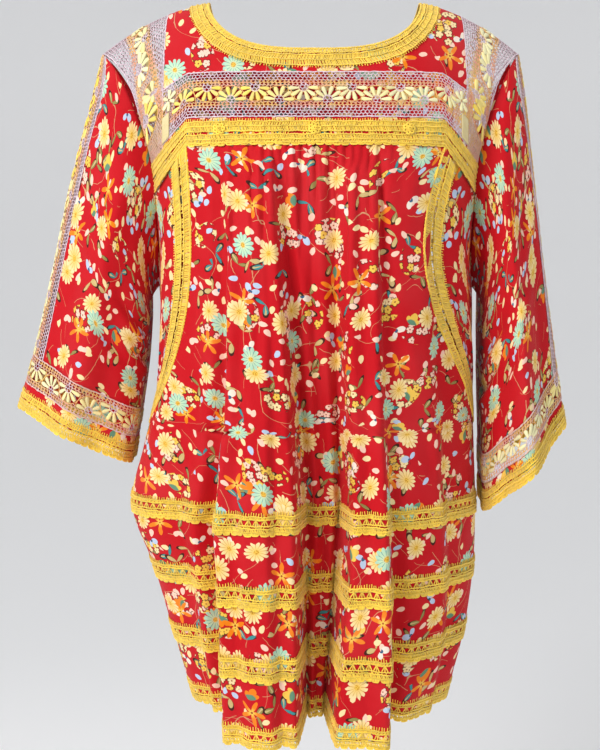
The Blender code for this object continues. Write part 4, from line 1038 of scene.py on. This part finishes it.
def crochet(strip, node, kind, teeth=0.0028, edge="scallop", lumps=()):
    """A trim of crochet on a strip: v = 0 is its toothed edge and v = depth its scalloped or looped one."""
    work, depth, rows = Yarns(), strip.depth, TRIM_ROWS[kind]
    shells = max(2, round(strip.length / SHELL_PITCH))
    pitch = strip.length / shells
    stitches = np.arange(max(4, round(strip.length / STITCH)))
    stitch = strip.length / len(stitches)
    ends = np.array([0.0, 1.0])

    def shade(count):
        return np.array(CROCHET_YELLOW) * rng.uniform(0.80, 1.12, (count, 1))

    def posts(u, first, last, lean, radius, lift=0.0007):
        """Short lengths across the strip, from one height to another."""
        lean = np.broadcast_to(lean, u.shape)
        along = u[:, None] + lean[:, None] * (ends - 0.5) + rng.uniform(-UNEVEN, UNEVEN, (len(u), 1))
        across = first + (last - first) * ends + rng.uniform(-UNEVEN, UNEVEN, (len(u), 2))
        work.lay(strip, along, across, lift, radius, 3, shade(len(u)))

    def course(v, radius, wave, phase=0.0, lift=0.0012):
        """A row of chain along the strip, a little looped at every second stitch."""
        steps = np.arange(0, len(stitches) + 1) * stitch
        for piece in (steps[i : i + 13] for i in range(0, len(steps) - 1, 12)):
            u = piece[None]
            ripple = wave * np.cos(u / stitch * math.pi + phase) + 0.0003 * np.sin(u * 410 + phase)
            height = lift + 0.0003 * np.sin(u / stitch * math.pi + phase)
            work.lay(strip, u, v + ripple, height, radius, 3, shade(1))

    if teeth:
        bite = (np.arange(round(strip.length / TOOTH_PITCH)) + 0.5) * TOOTH_PITCH
        long = teeth * rng.uniform(0.55, 1.15, len(bite))
        v = (-long)[:, None] * (1 - ends) + depth * (rows[0][1] + 0.03) * ends
        u = bite[:, None] + rng.uniform(-0.0005, 0.0005, (len(bite), 2))
        work.lay(strip, u, v, 0.0006, 0.00055, 3, shade(len(bite)))
    for n, (style, first, last) in enumerate(rows):
        first, last = first * depth, last * depth
        course(first, CHAIN, 0.0003, phase=n * 1.3)
        if style == "close":
            posts(stitches * stitch, first, last, stitch * (1.1 if n % 2 else -1.1), POST)
        elif style == "bars":
            gap = rng.uniform(0, 1, len(stitches)) > 0.56
            posts(stitches[gap] * stitch, first, last, rng.uniform(-0.0011, 0.0011, gap.sum()), POST, 0.0005)
        else:
            centre = (np.arange(shells) + 0.5) * pitch
            for share in (-0.9, 0.0, 0.9):
                lean = share * pitch * 0.42
                posts(centre + lean / 2, first, last, lean, 0.00066, 0.0006)
    bottom = rows[-1][2] * depth
    course(bottom, 0.0008, 0.0004, phase=0.6)
    if edge == "scallop":
        shift = rng.uniform(-0.0008, 0.0008, shells)
        centre = (np.arange(shells) + 0.5) * pitch + shift
        sway = rng.uniform(0.75, 1.15, (shells, 1))
        k = np.linspace(0, math.pi, 8)
        reach = depth - bottom
        bumpy = 1 + 0.16 * np.cos(k * 6)
        u = centre[:, None] - np.cos(k) * pitch * 0.5
        v = bottom + np.sin(k) ** 0.8 * reach * sway * bumpy
        work.lay(strip, u, v, 0.0008 + 0.0003 * np.sin(k), EDGE, 4, shade(shells))
        for share in (-0.75, -0.45, -0.15, 0.15, 0.45, 0.75):
            u = centre[:, None] + share * pitch * 0.48 * (0.75 + 0.25 * ends)
            v = bottom + reach * math.sqrt(1 - share**2) * ends * sway
            work.lay(strip, u, v, 0.0006, EDGE, 3, shade(shells))
    else:
        loops = round(strip.length / PICOT_PITCH)
        centre = (np.arange(loops) + 0.5) * strip.length / loops
        k = np.linspace(0, math.pi, 5)
        u = centre[:, None] - np.cos(k) * 0.0014
        v = bottom + np.sin(k) * (depth - bottom) * 1.3
        work.lay(strip, u, v, 0.0008, 0.0008, 4, shade(loops))
    # Rosettes: a ring of round petals about a knot
    for u, v in lumps:
        for turn in np.arange(7) * 2 * math.pi / 7:
            k = np.linspace(0, 2 * math.pi, 8)
            ring_u = u + 0.0042 * math.cos(turn) + 0.0016 * np.cos(k)
            ring_v = v + 0.0038 * math.sin(turn) + 0.0016 * np.sin(k)
            work.lay(strip, ring_u[None], ring_v[None], 0.0022, 0.0011, 5, shade(1))
        k = np.linspace(0, 4 * math.pi, 17)
        knot_u, knot_v = u + 0.0014 * np.cos(k), v + 0.0014 * np.sin(k)
        work.lay(strip, knot_u[None], knot_v[None], 0.0024 + k[None] * 0.00014, 0.0011, 5, shade(1))
    fit_on(work.made(f"{node}_crochet", crochet_cotton), node)


def along_body(z_top, z_low, behind, finely=14, rows=4):
    """A strip round the folds of the front or back, from one height down to another."""
    heights = np.linspace(z_top, z_low, rows)
    angle = np.array([body_angles(h, behind, finely) for h in heights])
    return drawn_strip(body_point, angle, np.broadcast_to(heights[:, None], angle.shape), (0, 0, -0.5))


ROSETTES = (-0.092, -0.001, 0.089)
for label, behind in (("front", False), ("back", True)):
    for n, top in enumerate(TIER_TOPS, 1):
        strip = along_body(top, top - TIER_DEPTH, behind)
        strip.points = strip.points + strip.out * 0.0006
        crochet(strip, f"tier_trim_{n}_{label}", "tier")
    strip = along_body(CLOTH_HEM, HEM_EDGE, behind)
    crochet(strip, f"hem_trim_{label}", "tier")

    # Yoke trim: from the drawn-thread band down to the seam, its corners falling to the armholes
    low = float(yoke_share(YOKE_TRIM, behind))
    shares = np.linspace(low, 0.0, 6)[:, None]
    halves = []
    for sign in (-1, 1):
        inner = np.linspace(0, DROP_START, 60)
        beyond = np.linspace(0, 1, 16)[1:] * (armhole_half(shares, sign) - DROP_START) + DROP_START
        halves.append(np.concatenate([np.broadcast_to(inner, (6, 60)), beyond], axis=1))
    xs = np.concatenate([-halves[0][:, :0:-1], halves[1]], axis=1)
    out = out_of_yoke(xs, np.clip(shares, 0.001, 1) + 0 * xs, behind)
    strip = Strip(yoke_point(xs, shares, behind), out)
    middle_row = strip.points[len(strip.points) // 2, :, 0]
    lumps = [] if behind else [(float(np.interp(x, middle_row, strip.run)), 0.0085) for x in ROSETTES]
    crochet(strip, f"yoke_trim_{label}", "yoke", teeth=0.0022, lumps=lumps)

    # Neck trim: worked into the cut edge of the neck, with small picots along the open side
    angle = np.radians(np.linspace(0, 90, 90))
    loops = [neck_loop(angle, margin, behind) for margin in np.linspace(NECK_TRIM, 0.0, 5)]
    xs = np.array([mirrored(x, -1.0) for x, _ in loops])
    ts = np.array([mirrored(t) for _, t in loops])
    out = out_of_yoke(xs, np.clip(ts, 0.001, 0.999), behind)
    strip = Strip(yoke_point(xs, ts, behind) + out * 0.0006, out)
    crochet(strip, f"neck_trim_{label}", "neck", teeth=0.0020, edge="loops")

for side in SLEEVES:
    sign = SLEEVES[side][0]
    girth, _ = SLEEVE_SHAPE[side]
    # Side trim: two U-shaped edges, read at the same turn round the foot
    turn = np.linspace(0, math.pi, 160)
    lines = []
    for share in np.linspace(0, 1, 5):
        foot = SIDE_PANEL_FOOT + (OUTER_FOOT - SIDE_PANEL_FOOT) * share
        start = SIDE_INNER + (DROP_START - SIDE_INNER) * share
        first = float(np.arcsin(((YOKE_SEAM - seam_height(start)) / (YOKE_SEAM - foot)) ** 1.3))
        swing = first + turn * (1 - 2 * first / math.pi)
        z = YOKE_SEAM + (foot - YOKE_SEAM) * np.sin(swing) ** (1 / 1.3)
        row = []
        for h, behind in zip(z, turn > math.pi / 2):
            angle = side_turn(h, foot, start, sign, behind)
            row.append((sign * (math.pi - angle if behind else angle), h))
        lines.append(row)
    both = np.array(lines)
    strip = drawn_strip(body_point, both[..., 0], both[..., 1], (0, 0, -0.30))
    crochet(strip, f"side_trim_{side}", "side", teeth=0.0024, edge="loops")

    # Cuff: a narrow border of the printed cotton, edged with crochet
    s = np.linspace(0, 1, 241)[:-1]
    rings = {}
    for name, upper, lower, count in (
        ("cuff_border", CUFF_TRIM + CUFF_BORDER, CUFF_TRIM - CUFF_UNDER, 6), ("cuff_trim", CUFF_TRIM, 0, 5)
    ):
        t = np.array([sleeve_level(side, s, d) for d in np.linspace(upper, lower, count)])
        both_s = np.broadcast_to(s, t.shape)
        out = out_of_sleeve(side, both_s, t, (0.24, 0.0, -0.45))
        rings[name] = (sleeve_point(side, both_s, t), out)
    points, out = rings["cuff_border"]
    cloth = lay_cloth(f"cuff_border_{side}_cloth", points, flat_lengths(points, 0), cotton, closed=True)
    fit_on(cloth, f"cuff_border_{side}")
    strip = Strip(*rings["cuff_trim"], closed=True)
    crochet(strip, f"cuff_trim_{side}", "cuff")

# Drawn-thread bands. Threads are drawn out of a pale ground, and those that are left are gathered and darned by
# hand: a lilac net along each edge, rows of orange stitches, and a wave of half-round fans in cream and yellow.

needle_thread = yarn_finish("needlework_threads", 0.7, 2200.0)
LILAC = (0.74, 0.57, 0.64)
SALMON = (0.84, 0.33, 0.17)
AMBER = (0.88, 0.48, 0.07)
PETAL_PALE = (0.86, 0.80, 0.44)
PETAL_DEEP = (0.92, 0.66, 0.05)
# Directions of a fan's petals in degrees; then the net's step along and across, the girth of its thread, and the
# sizes of a fan: its hub, its reach, and how far the hub lies from the middle of the band
PETALS = (4, 38, 73, 107, 142, 176)
NET_STEP = 0.0020
NET_PITCH = 0.0030
NET_THREAD = 0.00046
HUB = 0.0046
FAN_REACH = 0.0152
FAN_BASE = 0.0066
PETAL_GIRTH = np.array([0.0009, 0.0017, 0.0023, 0.0016])
STAR_REACH = 0.0098


def blended(first, second, share):
    share = np.asarray(share, float)[..., None]
    return np.array(first) * (1 - share) + np.array(second) * share


def drawn_work(strip, node, stops, middle, low=0.0, high=None, skip=None, tone=0.0, scale=1.0, stars=()):
    """Needlework on a strip: fans from each stop to the next, net over the rest. low and high give its edges."""
    work = Yarns()
    hub, fan_reach, fan_base, step = HUB * scale, FAN_REACH * scale, FAN_BASE * scale, NET_STEP * scale
    warm_at, warm_half = 0.0112 * scale, 0.0042 * scale
    high = (lambda u: strip.depth + 0 * u) if high is None else high
    centres = (stops[:-1] + stops[1:]) / 2
    ups = np.where(np.arange(len(centres)) % 2 == 0, 1.0, -1.0)
    middle_at = middle if callable(middle) else (lambda u: middle + 0 * u)
    hubs = middle_at(centres) - ups * fan_base
    keep = np.array([skip is None or not skip(c) for c in centres])

    def about_fans(u, v):
        """Which points lie in the open part of a fan, and which in the round net at its hub."""
        du, dv = u[..., None] - centres, (v[..., None] - hubs) * ups
        r = np.where(keep, np.hypot(du, dv), 1.0)
        return ((r < fan_reach) & (r > hub) & (dv > -0.0014)).any(-1), (r < hub + 0.0006).any(-1)

    def tints(u, v, count):
        """Lilac along the edges and at the hubs, orange and salmon next to the fans."""
        away = np.abs(v - middle_at(u))
        warm = np.clip(1 - np.abs(away - warm_at) / warm_half, 0, 1) ** 0.4
        warm = np.where(away < warm_at - warm_half * 0.6, 0.55, warm) * ~about_fans(u, v)[1]
        change = 0.5 + 0.5 * np.sin(u * 95 + tone * 3) + rng.uniform(-0.3, 0.3, count)
        glow = blended(SALMON, AMBER, np.clip(change, 0, 1))
        pale = np.array(LILAC) * rng.uniform(0.80, 1.15, (count, 1))
        return pale * (1 - warm[:, None]) + glow * warm[:, None]

    # Net: rows of looped thread in zigzag, with short bars between their points
    rows = max(3, int(round((float(np.max(high(stops))) - low) / (NET_PITCH * scale))))
    columns = int(strip.length / step)
    u0 = np.arange(columns + 1) * strip.length / columns
    for k in range(rows + 1):
        edge = k in (0, rows)
        v0 = low + (high(u0) - low) * k / rows
        zig = 0.0 if edge else 0.00055
        v = v0 + zig * (-1.0) ** (np.arange(len(u0)) + k) + rng.uniform(-0.00042, 0.00042, len(u0))
        u = u0 + rng.uniform(-0.00045, 0.00045, len(u0))
        tint = tints(u, v, len(u0))
        in_fan, _ = about_fans((u[:-1] + u[1:]) / 2, (v[:-1] + v[1:]) / 2)
        shown = ~in_fan | edge
        pair_u, pair_v = np.stack([u[:-1], u[1:]], 1)[shown], np.stack([v[:-1], v[1:]], 1)[shown]
        work.lay(strip, pair_u, pair_v, 0.0004, 0.0008 if edge else NET_THREAD, 3, tint[:-1][shown])
        if k == rows:
            continue
        v1 = low + (high(u0) - low) * (k + 1) / rows
        close = np.abs(np.abs((v0 + v1) / 2 - middle_at(u0)) - warm_at) < 0.0030 * scale
        bar = np.flatnonzero(close | ((np.arange(len(u0)) + k) % 2 == 0))
        lean = np.where(close[bar], step * (-1.0) ** bar, rng.uniform(-0.0007, 0.0007, len(bar)))
        bar_u = np.stack([u[bar], u[bar] + lean], 1)
        bar_v = np.stack([v[bar], v1[bar]], 1)
        in_fan, _ = about_fans(bar_u.mean(1), bar_v.mean(1))
        work.lay(strip, bar_u[~in_fan], bar_v[~in_fan], 0.0003, NET_THREAD, 3, tint[bar][~in_fan])

    # Fans: bundles of threads wrapped together, wide at the rim and drawn in at the hub
    k = np.array([0.0, 0.35, 0.75, 1.0])
    patch = 0.5 + 0.5 * np.sin(centres * 17 + tone) + rng.uniform(-0.25, 0.25, len(centres))
    for angle in PETALS:
        turn = np.radians(angle + rng.uniform(-3, 3, len(centres)))[:, None]
        reach = fan_reach - 0.0009 + rng.uniform(-0.0006, 0.0006, (len(centres), 1))
        r = hub - 0.0004 + (reach - hub + 0.0004) * k
        u = centres[:, None] + r * np.cos(turn)
        v = hubs[:, None] + ups[:, None] * r * np.sin(turn)
        v = np.clip(v, low + 0.0008, high(u) - 0.0008)
        shade = np.clip(patch + rng.uniform(-0.15, 0.15, len(centres)), 0, 1)
        colour = blended(PETAL_PALE, PETAL_DEEP, shade) * rng.uniform(0.85, 1.08, (len(centres), 1))
        work.lay(strip, u[keep], v[keep], 0.0007, PETAL_GIRTH * scale, 6, colour[keep], flat=0.35)
    # Whole round flowers of six petals at the corners
    for at_u, at_v in stars:
        turn = np.radians(np.arange(6) * 60 + 28 + rng.uniform(-4, 4, 6))[:, None]
        r = STAR_REACH * (0.14 + 0.86 * k)
        colour = np.array(PETAL_PALE) * rng.uniform(0.9, 1.1, (6, 1))
        work.lay(strip, at_u + r * np.cos(turn), at_v + r * np.sin(turn), 0.0016, PETAL_GIRTH, 6, colour, flat=0.35)
    # The stitched lines that hold the petals at the rim and round the hub
    for reach, radius, first, last, count in ((fan_reach - 0.0002, 0.00045, -6, 186, 13), (hub, 0.0006, -20, 200, 9)):
        turn = np.radians(np.linspace(first, last, count))
        u = centres[:, None] + reach * np.cos(turn)
        v = hubs[:, None] + ups[:, None] * reach * np.sin(turn)
        v = np.clip(v, low + 0.0006, high(u) - 0.0006)
        tint = blended(SALMON if reach > hub else LILAC, PETAL_DEEP, rng.uniform(0.1, 0.6, len(centres)))
        work.lay(strip, u[keep], v[keep], 0.0007, radius, 4, tint[keep])
    fit_on(work.made(f"{node}_work", needle_thread), node)


def even_stops(strip):
    """Stops from which fans fill a strip evenly."""
    return np.linspace(0, strip.length, round(strip.length / FAN_PITCH) + 1)


def plain_ground(name):
    """The pale cotton ground of the bands where no thread is drawn."""
    w = Wiring(name, 0.8)
    w.shader.inputs["Sheen Weight"].default_value = 0.1
    uv = w.node("UVMap", uv_map="flat_cloth").outputs["UV"]
    patchy = w.noise(uv, 120.0, 2.0)
    w.tree.links.new(w.mix(patchy, (0.66, 0.52, 0.22, 1), (0.80, 0.70, 0.40, 1)), w.shader.inputs["Base Color"])
    threads = w.node("TexChecker", {"Vector": uv, "Scale": 1100.0}).outputs["Fac"]
    w.bump(threads, 0.5, 0.0003)
    return w.material


pale_ground = plain_ground("pale_band_ground")
PATCH = 0.0105
PATCH_TOP = 0.026
STAR_HEIGHT = 0.037
UNDER_YOKE_TRIM = 0.015
for label, behind in (("front", False), ("back", True)):
    height = RED_STRIP + BAND
    across = np.linspace(YOKE_TRIM, YOKE_TRIM + height, 16)
    t = yoke_share(across, behind)[:, None]
    x = np.linspace(-YOKE_INSET_HALF, YOKE_INSET_HALF, 121)
    strip = drawn_strip(lambda a, b: yoke_point(a, b, behind), x[None] + 0 * t, t + 0 * x[None], (0, 0, -0.17))
    stops = np.interp(np.linspace(PATCH - YOKE_INSET_HALF, YOKE_INSET_HALF - PATCH, 13), x, strip.run)
    middle = strip.depth * (RED_STRIP + BAND / 2) / height
    corners = [(u, STAR_HEIGHT) for u in (PATCH, strip.length - PATCH)]
    drawn_work(strip, f"drawn_band_{label}", stops, middle, low=RED_STRIP, tone=1.0 + behind, stars=corners)

    # Below the band a strip of printed cotton runs on under the crochet; behind it runs up under the whole band,
    # which is worked on the uncut cloth there
    reach, count = (height, 24) if behind else (RED_STRIP, 8)
    across = np.linspace(YOKE_TRIM - UNDER_YOKE_TRIM, YOKE_TRIM + reach, count)
    t = yoke_share(across, behind)[:, None]
    low_x, low_t = x[None] + 0 * t, t + 0 * x[None]
    points = yoke_point(low_x, low_t, behind)
    out = out_of_yoke(low_x, low_t, behind, (2e-4, 2e-4))
    points = points[::-1] - out[::-1] * 0.0004
    cloth = lay_cloth(f"drawn_band_{label}_edge", points, flat_lengths(points), cotton)
    fit_on(cloth, f"drawn_band_{label}", instead=False)
    size = (0.300, round(float(across[-1] - across[0]), 3))

    # The undrawn ground at its two ends
    for end, u in (("right", np.linspace(0, PATCH, 8)), ("left", np.linspace(strip.length - PATCH, strip.length, 8))):
        v = np.linspace(RED_STRIP, PATCH_TOP, 14)[::-1]
        points, _ = strip.at(u[None] + 0 * v[:, None], v[:, None] + 0 * u[None], 0.0012)
        cloth = lay_cloth(f"drawn_band_{label}_{end}_ground", points, flat_lengths(points), pale_ground)
        fit_on(cloth, f"drawn_band_{label}", instead=False)
        size = (PATCH, round(PATCH_TOP - RED_STRIP, 3))

SHOULDER_SCALE = 1.3
# On each side the band over the shoulder, the one down the sleeve, and the two halves of the one above the cuff
for side in SLEEVES:
    sign = SLEEVES[side][0]
    stops, levels, run, steps, front_fans = shoulder_stops(sign)
    lengths = np.linspace(stops[0], stops[-1], 160)
    q = np.interp(lengths, run, steps)
    reach = armhole_half(np.where(q < 1, q, 2 - q), sign)
    share = np.linspace(0, 1, 14)[:, None]
    wide = SHOULDER_HALF[sign] - YOKE_INSET_HALF
    x = YOKE_INSET_HALF + wide * share + 0 * q
    fits = np.minimum(x, reach)
    shares, inside = np.clip(q + 0 * x, 0.002, 1.998), (sign * 0.10, 0, -0.17)
    out = facing_out(lambda a, b: over_shoulder(sign, a, b), fits * 0.999, shares, inside, (1e-4, 1e-3))
    strip = Strip(over_shoulder(sign, x, q + 0 * x), out)
    wider = np.linspace(stops[0], stops[-1], max(3, round((stops[-1] - stops[0]) / FAN_PITCH / SHOULDER_SCALE) + 1))
    at = np.interp(wider, lengths, strip.run)
    table = strip.run, (reach - YOKE_INSET_HALF) / wide * strip.depth

    def edge_at(u, table=table):
        return np.interp(u, *table) - 0.0004

    def half_way(u, table=table):
        return np.interp(u, *table) / 2

    def too_narrow(u, table=table):
        return float(np.interp(u, *table)) < FAN_REACH * 2.0

    node = f"drawn_band_shoulder_{side}"
    drawn_work(strip, node, at, half_way, high=edge_at, skip=too_narrow, tone=2.0, scale=SHOULDER_SCALE)

    # Band down the top of the sleeve
    level = np.linspace(0, 1, 150)
    share = np.linspace(-1, 1, 15)[:, None]
    s = share * np.where(share < 0, band_edge(side, level, 1), band_edge(side, level, 0)) + band_swing(side, level)
    t = level * sleeve_level(side, s, CUFF)
    strip = Strip(sleeve_point(side, s, t), out_of_sleeve(side, s, t, (0.22, 0.0, -0.28)))
    drawn_work(strip, f"drawn_band_sleeve_{side}", even_stops(strip), strip.depth / 2, tone=0.5)

    for label, first in (("front", 0.0), ("back", 0.5)):
        s = np.linspace(first, first + 0.5, 130)
        t = np.array([sleeve_level(side, s, d) for d in np.linspace(CUFF_BORDER + CUFF_TRIM, CUFF, 10)])
        s = s[None] + 0 * t
        strip = Strip(sleeve_point(side, s, t), out_of_sleeve(side, s, t, (0.24, 0.0, -0.43)))
        node = f"cuff_band_{side}_{label}"
        drawn_work(strip, node, even_stops(strip), strip.depth / 2, tone=3.0)
        if label == "back":
            points = strip.points - strip.out * 0.0006
            cloth = lay_cloth(f"{node}_ground", points, flat_lengths(points), cotton)
            fit_on(cloth, node, instead=False)

# Studio. A pale seamless floor that curves up all round into the backdrop, the camera at the photograph's angle,
# and soft light from the front and from above.

FLOOR = -1.15
# Radius and height of each ring of the floor and its wall
SWEEP = (
    (1.6, 0.0), (2.0, 0.02), (2.4, 0.08), (2.8, 0.19), (3.2, 0.36),
    (3.6, 0.62), (3.9, 0.92), (4.1, 1.25), (4.2, 1.6), (4.2, 3.9),
)
bpy.ops.mesh.primitive_circle_add(vertices=96, radius=SWEEP[0][0], fill_type="NGON", location=(0, 0, 0))
floor = bpy.context.object
floor.name = "studio_floor"
bpy.ops.object.mode_set(mode="EDIT")
bpy.ops.mesh.select_mode(type="EDGE")
reach = SWEEP[0]
for radius, rise in SWEEP[1:]:
    grown = radius / reach[0]
    bpy.ops.mesh.extrude_edges_move(TRANSFORM_OT_translate={"value": (0, 0, rise - reach[1])})
    bpy.ops.transform.resize(value=(grown, grown, 1), center_override=(0, 0, rise))
    reach = (radius, rise)
bpy.ops.mesh.select_all(action="SELECT")
bpy.ops.mesh.normals_make_consistent(inside=True)
bpy.ops.object.mode_set(mode="OBJECT")
for corner in floor.data.vertices:
    corner.co.z += FLOOR
bpy.ops.object.shade_smooth()
bpy.ops.object.select_all(action="DESELECT")
paint = Wiring("pale_floor", 0.9)
shade = paint.noise(paint.node("TexCoord").outputs["Object"], 0.8, 1.0)
pale = paint.mix(shade, (0.92, 0.925, 0.93, 1), (0.96, 0.96, 0.965, 1))
paint.put(pale, paint.shader.inputs["Base Color"])
floor.data.materials.append(paint.material)

eye = bpy.data.cameras.new("camera")
eye.lens, eye.sensor_fit, eye.sensor_height, eye.sensor_width = 64.0, "VERTICAL", 36.0, 28.8
camera = bpy.data.objects.new("camera", eye)
camera.location = (-0.015, -1.4, -0.25)
# It looks a little down, at the middle of the blouse
camera.rotation_euler = (math.pi / 2 - math.atan2(0.133, 1.4), 0, 0)
bpy.context.scene.collection.objects.link(camera)
bpy.context.scene.camera = camera
LIT_POINT = (0, 0, -0.35)
for name, place, size, power in (
    ("key", (-1.6, -1.7, 1.0), 1.0, 54),
    ("fill", (1.7, -1.7, 0.2), 1.6, 7),
    ("top", (0.2, 0.5, 2.1), 1.6, 15),
):
    light = bpy.data.lights.new(name, "AREA")
    light.shape, light.size, light.energy = "SQUARE", size, power
    made = bpy.data.objects.new(name, light)
    made.location = place
    x, y, z = np.array(LIT_POINT) - np.array(place)
    made.rotation_euler = (math.atan2(math.hypot(x, y), -z), 0, math.atan2(y, x) - math.pi / 2)
    bpy.context.scene.collection.objects.link(made)
world = bpy.data.worlds.new("soft_room")
world.use_nodes = True
air = world.node_tree.nodes["Background"].inputs
air["Color"].default_value = (0.92, 0.93, 0.95, 1)
air["Strength"].default_value = 0.44
bpy.context.scene.world = world
bpy.context.scene.view_settings.view_transform = "Standard"
